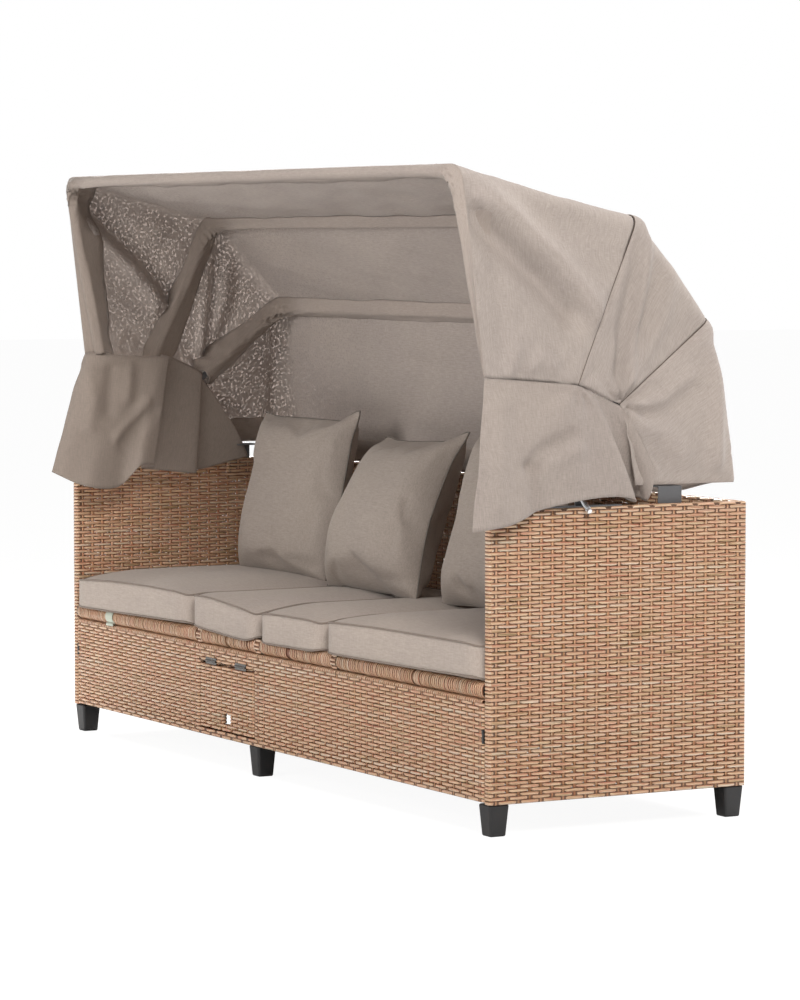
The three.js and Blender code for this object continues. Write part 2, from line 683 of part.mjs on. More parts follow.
// Canopy brackets: a long foot along the arm top, an ear down its inner face that carries the pivot,
// and a tab for the hand bolt
const handSlope = THREE.MathUtils.degToRad(handBoltTilt);
const footPlateTop = armTop + clearance + plateThickness;
const handTabInner = halfWidth - handTabFromEdge;
const handBoltHeight = footPlateTop + handBoltCapRadius / Math.cos(handSlope)
  + (handTabFromEdge - plateThickness) * Math.tan(handSlope);
function alongHandBolt(geometry, sign) {
  geometry.rotateX(Math.PI / 2);
  geometry.rotateY(sign * (Math.PI / 2 + handSlope));
  return geometry.translate(sign * handTabInner, handBoltFromFront, handBoltHeight);
}
const foldedLean = THREE.MathUtils.degToRad(rearBowFolded);
const shelfTop = pivotHeight + (restFromFront - restWidth / 2 - pivotFromFront) / Math.tan(foldedLean)
  - bowTubeRadius / Math.sin(foldedLean) - clearance;
for (const [side, sign] of mirrored) {
  const earX = [sign * earInner, sign * (earInner + plateThickness)];
  const foot = block([sign * earInner, sign * (halfWidth - plateThickness)],
    [bracketFootStart, bracketFootStart + bracketFootLength], [footPlateTop - plateThickness, footPlateTop]);
  const ear = block(earX, [pivotFromFront - bracketEarWidth / 2, pivotFromFront + bracketEarWidth / 2],
    [armTop - bracketEarDrop, pivotHeight]);
  const earTop = barAlongX(earX, pivotFromFront, pivotHeight, bracketEarWidth / 2, 24);
  const tab = block([sign * handTabInner, sign * (handTabInner + plateThickness)],
    [handBoltFromFront - handTabWidth / 2, handBoltFromFront + handTabWidth / 2],
    [footPlateTop - plateThickness, footPlateTop + handTabHeight]);
  const pivotBore = barAlongX([sign * (earInner - overrun), sign * (armInner + overrun)], pivotFromFront,
    pivotHeight, pivotBoltRadius + clearance, 12);
  const tabBore = alongHandBolt(new THREE.CylinderGeometry(handBoltRadius + clearance,
    handBoltRadius + clearance, 2 * handBoltStem, 12), sign);
  add(`canopy_bracket_${side}`, cut(join(foot, ear, earTop, tab), pivotBore, tabBore), 'steel');

  const innerEnd = innermostBow - bowPitch / 2;
  const head = barAlongX([sign * armInner, sign * (armInner + pivotHeadHeight)], pivotFromFront, pivotHeight,
    pivotHeadRadius, 6);
  const shank = barAlongX([sign * (innerEnd - pivotNutHeight / 2), sign * (armInner + pivotHeadHeight / 2)],
    pivotFromFront, pivotHeight, pivotBoltRadius, 12);
  add(`pivot_bolt_${side}`, join(head, shank), 'zinc');

  const dome = new THREE.Shape();
  dome.absarc(0, 0, pivotHeadRadius, 0, Math.PI / 2);
  const points = [
    new THREE.Vector2(0, -pivotNutHeight / 2),
    new THREE.Vector2(pivotHeadRadius, -pivotNutHeight / 2),
    ...dome.getPoints(4),
  ];
  const nut = new THREE.LatheGeometry(points, 12).rotateZ(sign * Math.PI / 2);
  nut.translate(sign * (innerEnd - pivotNutHeight / 2), pivotFromFront, pivotHeight);
  const thread = barAlongX([sign * (innerEnd - pivotNutHeight / 2 - clearance), sign * (innerEnd + overrun)],
    pivotFromFront, pivotHeight, pivotBoltRadius + clearance, 12);
  add(`pivot_nut_${side}`, cut(nut, thread), 'zinc');

  const restY = [restFromFront - restWidth / 2, restFromFront + restWidth / 2];
  add(`bow_rest_${side}`, join(
    block(earX, restY, [armTop - restDrop, shelfTop]),
    block([sign * (earInner - restShelf), earX[1]], restY, [shelfTop - plateThickness, shelfTop]),
  ), 'steel');

  const collar = handBoltStem;
  const profile = [
    [0, -handBoltStem / 2], [handBoltRadius, -handBoltStem / 2], [handBoltRadius, collar],
    [handBoltCapRadius, collar], [handBoltCapRadius, collar + handBoltCapLength],
    [handBoltGripRadius, collar + handBoltCapLength],
    [handBoltGripRadius, collar + handBoltCapLength + handBoltGripLength],
    [handBoltCapRadius, collar + handBoltCapLength + handBoltGripLength],
    [handBoltCapRadius, collar + 2 * handBoltCapLength + handBoltGripLength],
    [0, collar + 2 * handBoltCapLength + handBoltGripLength],
  ].map(([radius, along]) => new THREE.Vector2(radius, along));
  add(`hand_bolt_${side}`, alongHandBolt(new THREE.LatheGeometry(profile, 14), sign), 'chrome');
}

// A thin closed sheet over a surface given by two shares, with its outer face on the normal's side
function sheet(surface, across, down, thickness = clothThickness) {
  const grid = [];
  for (let i = 0; i <= across; i += 1) {
    for (let j = 0; j <= down; j += 1) grid.push(surface(i / across, j / down));
  }
  const at = (i, j) => grid[Math.min(across, Math.max(0, i)) * (down + 1) + Math.min(down, Math.max(0, j))];
  const outer = [];
  const inner = [];
  const alongU = new THREE.Vector3();
  const alongV = new THREE.Vector3();
  for (let i = 0; i <= across; i += 1) {
    for (let j = 0; j <= down; j += 1) {
      alongU.subVectors(at(i + 1, j), at(i - 1, j));
      alongV.subVectors(at(i, j + 1), at(i, j - 1));
      const normal = alongU.cross(alongV).normalize();
      outer.push(...at(i, j).clone().addScaledVector(normal, thickness / 2));
      inner.push(...at(i, j).clone().addScaledVector(normal, -thickness / 2));
    }
  }
  const count = grid.length;
  const index = (i, j, face) => i * (down + 1) + j + face * count;
  const faces = [];
  const quad = (a, b, c, d) => faces.push(a, b, c, a, c, d);
  for (let i = 0; i < across; i += 1) {
    for (let j = 0; j < down; j += 1) {
      quad(index(i, j, 0), index(i + 1, j, 0), index(i + 1, j + 1, 0), index(i, j + 1, 0));
      quad(index(i, j, 1), index(i, j + 1, 1), index(i + 1, j + 1, 1), index(i + 1, j, 1));
    }
    quad(index(i, 0, 0), index(i, 0, 1), index(i + 1, 0, 1), index(i + 1, 0, 0));
    quad(index(i, down, 0), index(i + 1, down, 0), index(i + 1, down, 1), index(i, down, 1));
  }
  for (let j = 0; j < down; j += 1) {
    quad(index(0, j, 0), index(0, j + 1, 0), index(0, j + 1, 1), index(0, j, 1));
    quad(index(across, j, 0), index(across, j, 1), index(across, j + 1, 1), index(across, j + 1, 0));
  }
  const geometry = new THREE.BufferGeometry();
  const places = Float32Array.from([...outer, ...inner]);
  geometry.setAttribute('position', new THREE.BufferAttribute(places, 3));
  geometry.setIndex(faces);
  geometry.computeVertexNormals();
  return geometry;
}

// The lines that the canopy's panels are sewn along: over each bow, and the hem above the back.
// Each has the corner where the cloth turns down and the low end of its side.
function overBow({ out, depth, top }, end) {
  const radial = new THREE.Vector3(0, depth - pivotFromFront, top - pivotHeight).normalize();
  const corner = new THREE.Vector3(out + clothStandoff, depth, top).addScaledVector(radial, clothStandoff);
  return { corner, end: new THREE.Vector3(...end) };
}
const overArm = (fromSide, depth, aboveArm) => [halfWidth - fromSide, depth, armTop + aboveArm];
const frontSeamDepth = pivotFromFront - frontSeamBeforePivot;
const middlePinchDepth = overallDepth - middlePinchFromBack;
const rearPinchDepth = overallDepth - rearPinchFromBack;
const hemDepth = overallDepth - hemFromBack;
const hem = overArm(hemFromSide, hemDepth, hemAboveArm);
const seams = [
  overBow(bowRows.front, overArm(frontSeamFromSide, frontSeamDepth, frontSeamAboveArm)),
  overBow(bowRows.middle, overArm(middlePinchFromSide, middlePinchDepth, middlePinchAboveArm)),
  overBow(bowRows.rear, overArm(rearPinchFromSide, rearPinchDepth, rearPinchAboveArm)),
  { corner: new THREE.Vector3(...hem), end: new THREE.Vector3(...hem).setY(hemDepth - hemSideLength) },
];

// A place on one sewn line; the share runs from the left low end over the top to the right low end
const legSteps = 7;
const turnSteps = 5;
const topSteps = 9;
const halfSteps = legSteps + turnSteps + topSteps;
const legShare = legSteps / halfSteps;
const turnShare = turnSteps / halfSteps;
function seamPoint({ corner, end }, share) {
  const sign = share < 0.5 ? -1 : 1;
  const fromEnd = 1 - Math.abs(2 * share - 1);
  const down = end.clone().sub(corner).normalize();
  const turnLow = corner.clone().addScaledVector(down, clothBend);
  const turnHigh = corner.clone().setX(corner.x - clothBend);
  let point;
  if (fromEnd <= legShare) {
    point = end.clone().lerp(turnLow, fromEnd / legShare);
  } else if (fromEnd <= legShare + turnShare) {
    const turn = new THREE.QuadraticBezierCurve3(turnLow, corner, turnHigh);
    point = turn.getPoint((fromEnd - legShare) / turnShare);
  } else {
    const across = (fromEnd - legShare - turnShare) / (1 - legShare - turnShare);
    point = turnHigh.clone().setX(turnHigh.x * (1 - across));
  }
  return point.setX(sign * point.x);
}

// One panel of the canopy between two sewn lines, sagging between them, with a pulled fold on its sides
function canopyPanel(from, to, foldHeight) {
  return (share, downShare) => {
    const start = seamPoint(from, share);
    const finish = seamPoint(to, share);
    const length = start.distanceTo(finish);
    const trimmed = THREE.MathUtils.lerp(seamGap / 2 / length, 1 - seamGap / 2 / length, downShare);
    const point = start.lerp(finish, trimmed);
    const fromEnd = 1 - Math.abs(2 * share - 1);
    const onTop = THREE.MathUtils.smoothstep(fromEnd, legShare, 1);
    const sag = roofSag * Math.sin(Math.PI * trimmed) * onTop;
    const downLeg = 1 - Math.min(1, fromEnd / legShare);
    const along = Math.exp(-(((downLeg - trimmed) / foldWidthShare) ** 2));
    const fold = along * Math.sin(Math.PI * trimmed) * Math.sin(Math.PI * downLeg);
    point.x += Math.sign(share - 0.5) * foldHeight * fold;
    const inward = new THREE.Vector3(0, pivotFromFront - point.y, pivotHeight - point.z).normalize();
    return point.addScaledVector(inward, sag);
  };
}
const panelNames = ['canopy_front', 'canopy_middle', 'canopy_rear'];
const panelFolds = [sideFoldHeight, sideFoldHeight / 2, sideFoldHeight / 2];
panelNames.forEach((name, index) => {
  const surface = canopyPanel(seams[index], seams[index + 1], panelFolds[index]);
  add(name, sheet(surface, 2 * halfSteps, 6), 'canopyCloth');
});

// Skirts: the loose lower side cloth, sewn under the front and middle panels. The right one hangs over
// the outside of its arm. The left one is tucked inside its arm and passes inside the bows' legs, so
// only its front corner stays at the seam. Each row of shares is one place on the free hem: along the
// seam, backwards, down, and outwards.
const outerHemShares = [
  [0, -0.246, 1.01, 1], [0.15, -0.133, 0.99, 0.98], [0.35, 0.07, 0.973, 0.93], [0.55, 0.316, 0.876, 0.86],
  [0.75, 0.65, 0.82, 0.8], [0.9, 0.954, 0.827, 0.78], [1, 1.03, 0.915, 1],
];
const tuckedHemShares = [
  [0, -0.32, 0.94, 1], [0.12, -0.16, 1.02, 1], [0.3, 0.07, 1.08, 1], [0.42, 0.27, 1.07, 1],
  [0.55, 0.44, 0.92, 1], [0.8, 0.9, 0.99, 1], [1, 1.03, 0.93, 1],
];
const skirtColumns = 24;
const seamSpan = rearPinchDepth - frontSeamDepth;
const middleShare = (middlePinchDepth - frontSeamDepth) / seamSpan;
function underSeam(alongShare) {
  const local = alongShare < middleShare
    ? alongShare / middleShare
    : (alongShare - middleShare) / (1 - middleShare);
  const [from, to] = alongShare < middleShare ? [seams[0], seams[1]] : [seams[1], seams[2]];
  const point = from.end.clone().lerp(to.end, local);
  return point.set(point.x, point.y - seamGap * alongShare, point.z - seamGap);
}
function skirt(sign, hemShares, { tucked, lean, foldHeight, folds }) {
  const curveOf = (column) => new THREE.CatmullRomCurve3(
    hemShares.map((row) => new THREE.Vector3(row[0], row[column])),
  );
  const [back, drop, out] = [1, 2, 3].map(curveOf);
  return (share, downShare) => {
    const alongShare = sign > 0 ? 1 - share : share;
    const top = underSeam(alongShare);
    const tie = Math.max(0, 1 - alongShare * skirtColumns);
    if (tucked) top.setX(THREE.MathUtils.lerp(tucked, top.x, tie));
    const low = new THREE.Vector3(
      (tucked || top.x) + lean * out.getPoint(alongShare).y,
      frontSeamDepth + seamSpan * back.getPoint(alongShare).y,
      seams[0].end.z - skirtDrop * drop.getPoint(alongShare).y,
    );
    const point = top.lerp(low, downShare);
    point.x += foldHeight * downShare * Math.cos(2 * Math.PI * folds * alongShare);
    return point.setX(sign * point.x);
  };
}
const outerSkirt = { tucked: 0, lean: skirtFlare, foldHeight: skirtFoldHeight, folds: 3 };
const innerSkirt = {
  tucked: innermostBow - tuckedSkirtFromBow, lean: -tuckedSkirtLean, foldHeight: tuckedSkirtFold, folds: 2,
};
add('skirt_right', sheet(skirt(1, outerHemShares, outerSkirt), skirtColumns, 7), 'canopyCloth');
add('skirt_left', sheet(skirt(-1, tuckedHemShares, innerSkirt), skirtColumns, 7), 'canopyCloth');

// The origin is on the floor, under the middle of the whole daybed
const extent = new THREE.Box3().setFromObject(daybed);
const middle = extent.getCenter(new THREE.Vector3());
daybed.position.set(-middle.x, -middle.y, -extent.min.z);
daybed.updateMatrixWorld(true);

export default daybed;
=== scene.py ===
# %% [markdown]
# # An outdoor daybed with a folding canopy
# The real daybed has steel frames covered with flat woven strands, four loose seat cushions, three back
# pillows, and a sewn canopy on three bows that turn about one pivot on each side. This lesson opens the
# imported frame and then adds, one cell at a time, what a maker would see up close.

# %% Open the frame
import math

import bpy
import numpy as np
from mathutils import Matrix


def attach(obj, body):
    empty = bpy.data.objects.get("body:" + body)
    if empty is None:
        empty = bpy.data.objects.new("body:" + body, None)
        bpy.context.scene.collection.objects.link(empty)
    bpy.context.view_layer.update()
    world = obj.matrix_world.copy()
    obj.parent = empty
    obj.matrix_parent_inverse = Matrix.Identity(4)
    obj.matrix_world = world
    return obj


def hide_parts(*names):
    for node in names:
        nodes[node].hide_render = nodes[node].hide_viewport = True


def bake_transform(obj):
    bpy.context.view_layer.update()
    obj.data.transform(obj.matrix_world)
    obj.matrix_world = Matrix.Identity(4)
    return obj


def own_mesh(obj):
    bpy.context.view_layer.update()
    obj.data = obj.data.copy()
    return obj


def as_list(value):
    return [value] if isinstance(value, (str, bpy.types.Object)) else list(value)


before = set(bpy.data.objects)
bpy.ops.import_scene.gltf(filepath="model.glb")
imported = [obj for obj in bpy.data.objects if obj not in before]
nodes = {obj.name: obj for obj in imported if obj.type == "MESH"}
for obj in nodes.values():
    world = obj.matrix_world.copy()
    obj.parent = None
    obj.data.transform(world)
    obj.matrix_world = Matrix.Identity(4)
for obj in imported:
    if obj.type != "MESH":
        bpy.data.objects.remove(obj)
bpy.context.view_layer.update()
HOME = np.array([-0.0120125, -0.2927386, 0.0])
rng = np.random.default_rng(7)

# %% [markdown]
# ## Camera
# The view is a long lens from the front right, a little above the arms, looking slightly down. A camera
# could be placed by eye, but a place and three angles that were solved from the edges of the woven
# panels, the apron's top ends and the feet are used here.

# %% Camera
camera_data = bpy.data.cameras.new("view_from_the_right")
camera_data.lens = 140.0
camera_data.sensor_width = 36.0
camera_data.sensor_fit = "AUTO"
camera_data.clip_end = 60.0
camera = bpy.data.objects.new("view_from_the_right", camera_data)
bpy.context.scene.collection.objects.link(camera)
bpy.context.scene.camera = camera
camera.location = (8.4008, -4.6091, 1.3083)
YAW, PITCH = math.radians(60.7723), math.radians(3.7871)
camera.rotation_euler = (math.pi / 2 - PITCH, 0.0, YAW)
bpy.context.scene.view_settings.view_transform = "Standard"
print("camera at", tuple(camera.location))

# %% [markdown]
# ## Shader maths as plain expressions
# A finish is easier to read as a formula than as a tangle of nodes. The class below wraps one socket, so
# that sums and products of sockets and numbers add Math nodes by themselves, and one method makes any
# other node from its type, its settings and its inputs.

# %% One class for values, one method for nodes
def linear(*levels):
    """Turns screen levels from 0 to 255 into linear light: the level over 255, to the power 2.2."""
    return tuple((level / 255) ** 2.2 for level in levels) + (1.0,)


class Value:
    """One output socket of a finish; + - * / ** and their reflected forms add Math nodes."""

    def __init__(self, finish, socket):
        self.finish = finish
        self.socket = socket

    def _maths(self, operation, first, second):
        return self.finish.node("ShaderNodeMath", {"operation": operation}, {0: first, 1: second})

    def __add__(self, other):
        return self._maths("ADD", self, other)

    __radd__ = __add__

    def __mul__(self, other):
        return self._maths("MULTIPLY", self, other)

    __rmul__ = __mul__

    def __sub__(self, other):
        return self._maths("SUBTRACT", self, other)

    def __rsub__(self, other):
        return self._maths("SUBTRACT", other, self)

    def __truediv__(self, other):
        return self._maths("DIVIDE", self, other)

    def __pow__(self, other):
        return self._maths("POWER", self, other)

    def part(self, name):
        """Another output of the same node."""
        return Value(self.finish, self.socket.node.outputs[name])


class Finish:
    """A material and its node tree, filled by expressions."""

    def __init__(self, name):
        self.material = bpy.data.materials.new(name)
        self.material.use_nodes = True
        self.tree = self.material.node_tree
        self.tree.nodes.clear()

    def node(self, kind, settings=None, inputs=None, output=0):
        """Adds a node: its settings first (a ramp's stops too), then values or links of its sockets."""
        made = self.tree.nodes.new(kind)
        for key, setting in (settings or {}).items():
            if key == "stops":
                stops = made.color_ramp.elements
                while len(stops) < len(setting):
                    stops.new(0.5)
                for stop, (place, colour) in zip(stops, setting):
                    stop.position = place
                    stop.color = colour
            else:
                setattr(made, key, setting)
        for key, value in (inputs or {}).items():
            if isinstance(value, Value):
                self.tree.links.new(value.socket, made.inputs[key])
            else:
                made.inputs[key].default_value = value
        return Value(self, made.outputs[output])

    def place(self, source="Object"):
        """Coordinates in metres: the object's own, or those of its UV map."""
        return self.node("ShaderNodeTexCoord", output=source)

    def scaled(self, place, scale, turn=(0, 0, 0)):
        return self.node("ShaderNodeMapping", {}, {"Vector": place, "Scale": scale, "Rotation": turn})

    def noise(self, place, scale=1.0, detail=2.0, rough=0.5):
        return self.node("ShaderNodeTexNoise", {}, {
            "Vector": place, "Scale": scale, "Detail": detail, "Roughness": rough})

    def ramp(self, value, stops, smooth=False):
        kind = "EASE" if smooth else "LINEAR"
        ramp = self.node("ShaderNodeValToRGB", {"stops": stops}, {"Fac": value})
        ramp.socket.node.color_ramp.interpolation = kind
        return ramp

    def mix(self, share, first, second, blend="MIX"):
        """Blends two colours by a share; sockets 6 and 7 of the Mix node are its colours."""
        settings = {"data_type": "RGBA", "blend_type": blend}
        return self.node("ShaderNodeMix", settings, {0: share, 6: first, 7: second}, output=2)

    def bump(self, height, distance, strength=1.0):
        return self.node("ShaderNodeBump", {}, {
            "Height": height, "Distance": distance, "Strength": strength})

    def skin(self, inputs):
        """The glossy and matt shader that most finishes end in."""
        return self.node("ShaderNodeBsdfPrincipled", {}, inputs)

    def done(self, shader):
        end = self.tree.nodes.new("ShaderNodeOutputMaterial")
        self.tree.links.new(shader.socket, end.inputs["Surface"])
        return self.material


print("shader maths ready")

# %% [markdown]
# ## Floor, white surroundings and lamps
# The daybed stands on a white floor in front of white. The floor and the world show white to the camera
# and to reflections, while the light on the object comes from a plain world level and four large, soft
# lamps. The floor keeps a faint shadow, so that the feet stand on something.

# %% Stage
def white_floor():
    """Mostly plain white to the camera, with a share of lit matt white that carries the shadow."""
    finish = Finish("white_floor")
    path = finish.node("ShaderNodeLightPath", output="Is Camera Ray")
    lit = finish.node("ShaderNodeBsdfDiffuse", {}, {"Color": (0.86, 0.86, 0.86, 1)})
    plain = finish.node("ShaderNodeEmission", {}, {"Color": (1, 1, 1, 1), "Strength": 1.09})
    seen = finish.node("ShaderNodeMixShader", {}, {0: path * 0.86, 1: lit, 2: plain})
    return finish.done(seen)


floor_mesh = bpy.data.meshes.new("floor")
reach = 40.0
floor_mesh.from_pydata([(-reach, -reach, 0), (reach, -reach, 0), (reach, reach, 0), (-reach, reach, 0)],
                       [], [(0, 1, 2, 3)])
floor = bpy.data.objects.new("floor", floor_mesh)
floor_mesh.materials.append(white_floor())
bpy.context.scene.collection.objects.link(floor)

world = bpy.data.worlds.new("white_surroundings")
bpy.context.scene.world = world
world.use_nodes = True
tree = world.node_tree
tree.nodes.clear()
path = tree.nodes.new("ShaderNodeLightPath")
shown = tree.nodes.new("ShaderNodeMath")
shown.operation = "MAXIMUM"
either = tree.nodes.new("ShaderNodeMath")
either.operation = "MAXIMUM"
tree.links.new(path.outputs["Is Camera Ray"], shown.inputs[0])
tree.links.new(path.outputs["Is Glossy Ray"], shown.inputs[1])
tree.links.new(shown.outputs[0], either.inputs[0])
tree.links.new(path.outputs["Is Transmission Ray"], either.inputs[1])
light_level = tree.nodes.new("ShaderNodeBackground")
light_level.inputs["Color"].default_value = (1.0, 0.99, 0.98, 1)
light_level.inputs["Strength"].default_value = 0.33
white_level = tree.nodes.new("ShaderNodeBackground")
white_level.inputs["Color"].default_value = (1, 1, 1, 1)
choice = tree.nodes.new("ShaderNodeMixShader")
world_end = tree.nodes.new("ShaderNodeOutputWorld")
tree.links.new(either.outputs[0], choice.inputs[0])
tree.links.new(light_level.outputs[0], choice.inputs[1])
tree.links.new(white_level.outputs[0], choice.inputs[2])
tree.links.new(choice.outputs[0], world_end.inputs["Surface"])

# %% Lamps
def soft_lamp(name, place, aim, size, watts, colour=(1, 1, 1)):
    """A square area lamp at a place, turned towards an aim."""
    data = bpy.data.lights.new(name, "AREA")
    data.shape = "SQUARE"
    data.size = size
    data.energy = watts
    data.color = colour
    lamp = bpy.data.objects.new(name, data)
    bpy.context.scene.collection.objects.link(lamp)
    away = np.array(place, float) - np.array(aim, float)
    turn = math.atan2(away[0], -away[1])
    lean = math.atan2(math.hypot(away[0], away[1]), away[2])
    lamp.location = place
    lamp.rotation_euler = (lean, 0.0, turn)
    return lamp


soft_lamp("key_right", (5.0, -1.6, 4.6), (0.1, 0.0, 0.7), 1.8, 262, (1.0, 0.98, 0.95))
soft_lamp("fill_front", (0.6, -5.6, 2.6), (0.0, 0.0, 0.6), 2.6, 158, (1.0, 0.985, 0.97))
soft_lamp("top_back", (0.8, 3.2, 4.2), (0.0, 0.2, 0.9), 3.0, 195, (1.0, 1.0, 1.0))
soft_lamp("window_left", (-4.4, 1.6, 2.4), (-1.0, 0.2, 1.2), 1.8, 560, (1.0, 0.99, 0.98))
print("stage and four lamps")

# %% [markdown]
# ## Finish: flat synthetic strands
# Each strand is one extruded tape in a slowly changing mix of tan, salmon, beige, olive and brown, with
# fine lengthwise streaks and a soft gloss. A picture of weave would look flat from the side, so every
# strand is a real one here, and its finish reads the strand's own map: along it in metres, and a number
# per strand with a little spread across its width.

# %% Strand finish
def strand_finish(name, dim=(1.0, 1.0, 1.0)):
    """Colour from noise that is slow along a strand and new on each strand, times fine streaks. The
    part of the map's v behind the whole number tells how far across the strand a point is: the lower half
    is pale and the upper edge redder, the strand's own two tones, and over them a painted highlight
    runs along the crest and painted shade darkens both edges where the strand rounds away."""
    finish = Finish(name)
    place = finish.place("UV")
    mood = finish.noise(finish.scaled(place, (8.0, 7.31, 1.0)), 1.0, 1.0)
    level = lambda *rgb: tuple(channel * part for channel, part in zip(linear(*rgb)[:3], dim)) + (1.0,)
    tint = finish.ramp(mood, [
        (0.27, level(138, 114, 78)), (0.38, level(184, 146, 110)), (0.46, level(214, 186, 152)),
        (0.53, level(184, 124, 98)), (0.61, level(206, 176, 142)), (0.74, level(164, 100, 74)),
    ])
    pale = finish.noise(finish.scaled(place, (2.2, 3.77, 1.0)), 1.0, 0.0)
    pale_share = finish.ramp(pale, [(0.58, (0, 0, 0, 1)), (0.72, (1, 1, 1, 1))])
    tint = finish.mix(pale_share * 0.4, tint, level(208, 200, 182))
    streak = finish.noise(finish.scaled(place, (14.0, 60.0, 1.0)), 1.0, 2.0, 0.6)
    shade = finish.ramp(streak, [(0.3, (0.74, 0.68, 0.63, 1)), (0.7, (1.13, 1.13, 1.12, 1))])
    colour = finish.mix(1.0, tint, shade, "MULTIPLY")
    row = finish.node("ShaderNodeSeparateXYZ", {}, {"Vector": place}, "Y")
    aside = finish.node("ShaderNodeMath", {"operation": "FRACT"}, {0: row + 100.15}) / 0.3
    # painted highlight and shade across each strand: brighter along its crest, darker at both edges, over its
    # own pale and red tones
    rim = finish.ramp(aside, [(0.0, (0.70, 0.57, 0.49, 1)), (0.20, (1.22, 1.21, 1.18, 1)),
                              (0.50, (1.08, 1.04, 1.00, 1)), (0.76, (0.82, 0.68, 0.60, 1)),
                              (1.0, (0.54, 0.39, 0.32, 1))])
    colour = finish.mix(1.0, colour, rim, "MULTIPLY")
    return finish.done(finish.skin({
        "Base Color": colour, "Roughness": streak * 0.2 + 0.3,
        "Normal": finish.bump(streak, 0.0004, 0.5), "IOR": 1.45,
    }))


strand_tan = strand_finish("strand_tan", (0.88, 0.97, 1.08))
# a copy darkened to about a third: painted shade, for the rail's core seen between the wraps
strand_painted_shade = strand_finish("strand_painted_shade", (0.36, 0.31, 0.28))
strand_stake = strand_finish("strand_stake", (0.80, 0.72, 0.68))
print("strand finish")

# %% [markdown]
# ## From arrays to a mesh
# Every new surface below is worked out as whole arrays. This helper turns an array of points and an
# array of four-cornered faces into a mesh object at the origin, with its map, its finish and smooth
# shading, and hangs it on the body that carries it.

# %% Mesh helpers
def make_piece(name, points, quads, finish, body="frame", across=None, smooth=True):
    """points: n rows of x, y, z from HOME; quads: m rows of four corners; across: n rows of map u, v."""
    mesh = bpy.data.meshes.new(name)
    points = np.asarray(points, np.float64).reshape(-1, 3) + HOME
    quads = np.asarray(quads, np.int32).reshape(-1, 4)
    mesh.vertices.add(len(points))
    mesh.vertices.foreach_set("co", points.astype(np.float32).ravel())
    mesh.loops.add(quads.size)
    mesh.loops.foreach_set("vertex_index", quads.ravel())
    mesh.polygons.add(len(quads))
    mesh.polygons.foreach_set("loop_start", np.arange(0, quads.size, 4, dtype=np.int32))
    mesh.update(calc_edges=True)
    if across is not None:
        layer = mesh.uv_layers.new(name="map")
        layer.data.foreach_set("uv", np.asarray(across, np.float32).reshape(-1, 2)[quads.ravel()].ravel())
    mesh.polygons.foreach_set("use_smooth", np.full(len(quads), smooth))
    mesh.materials.append(finish)
    mesh.validate()
    piece = bpy.data.objects.new(name, mesh)
    bpy.context.scene.collection.objects.link(piece)
    if body:
        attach(piece, body)
    return piece


def grid_quads(rows, columns, wrap_rows=False, wrap_columns=False):
    """Faces of a grid whose point (i, j) has the number i * columns + j; a wrapped side meets its start."""
    i = np.arange(rows if wrap_rows else rows - 1)[:, None]
    j = np.arange(columns if wrap_columns else columns - 1)[None, :]
    next_i, next_j = (i + 1) % rows, (j + 1) % columns
    corners = [i * columns + j, next_i * columns + j, next_i * columns + next_j, i * columns + next_j]
    return np.stack(np.broadcast_arrays(*corners), -1).reshape(-1, 4)


def outward(points, quads, towards):
    """Turns all faces over when most of them look against the given directions, one per point."""
    a, b, c = (points[quads[:, k]] for k in range(3))
    looks = np.einsum("ij,ij->i", np.cross(b - a, c - b), towards[quads[:, 0]])
    return quads if looks.sum() >= 0 else quads[:, ::-1]


print("mesh helpers ready")

# %% [markdown]
# ## Woven panels from real strands
# A panel is a stack of flat strands. Each one runs along the outer face, round the end and back along the
# inner face. It passes over one upright stake and dives behind the next, 29 mm further on, and the row
# above does the opposite. That gives the brick pattern with a bit of stake in every gap. A bump pattern
# would be quicker, but it loses the dark slots and the rounded edges of the arms.

# %% Strands and stakes
STAKE_PITCH = 0.029
ROW_PITCH = 0.00848
STRAND_WIDTH = 0.0081
STRAND_RISE = 0.0021
DIVE_DEPTH = 0.0034
DIVE_FLAT, DIVE_REACH = 0.0044, 0.0098
STAKE_WIDTH = 0.0080
STAKE_INSET = 0.0032
PANEL = 0.025


def dive_stations(low, high, first, shift):
    """Places along a straight side: nine for each dive, kept within its ends. Dives lie at first plus
    shift plus whole pairs of stakes."""
    period = 2 * STAKE_PITCH
    start = first + shift
    count = np.arange(math.floor((low - start) / period) - 1, math.ceil((high - start) / period) + 2)
    steps = np.array([-0.5, -0.24, -0.155, -0.115, -0.072, 0.072, 0.115, 0.155, 0.24]) * period
    places = (start + count[:, None] * period + steps[None, :]).ravel()
    inside = places[(places > low + 0.002) & (places < high - 0.002)]
    return np.concatenate([[low], inside, [high]])


def dive(places, first, shift):
    """How deep a strand lies: the full depth within the flat, rising smoothly to none at the reach."""
    period = 2 * STAKE_PITCH
    away = (places - first - shift + period / 2) % period - period / 2
    swell = 0.0004 * np.cos(2 * np.pi * away / period)
    rise = np.clip((DIVE_REACH - np.abs(away)) / (DIVE_REACH - DIVE_FLAT), 0, 1)
    return -DIVE_DEPTH * rise * rise * (3 - 2 * rise) - swell


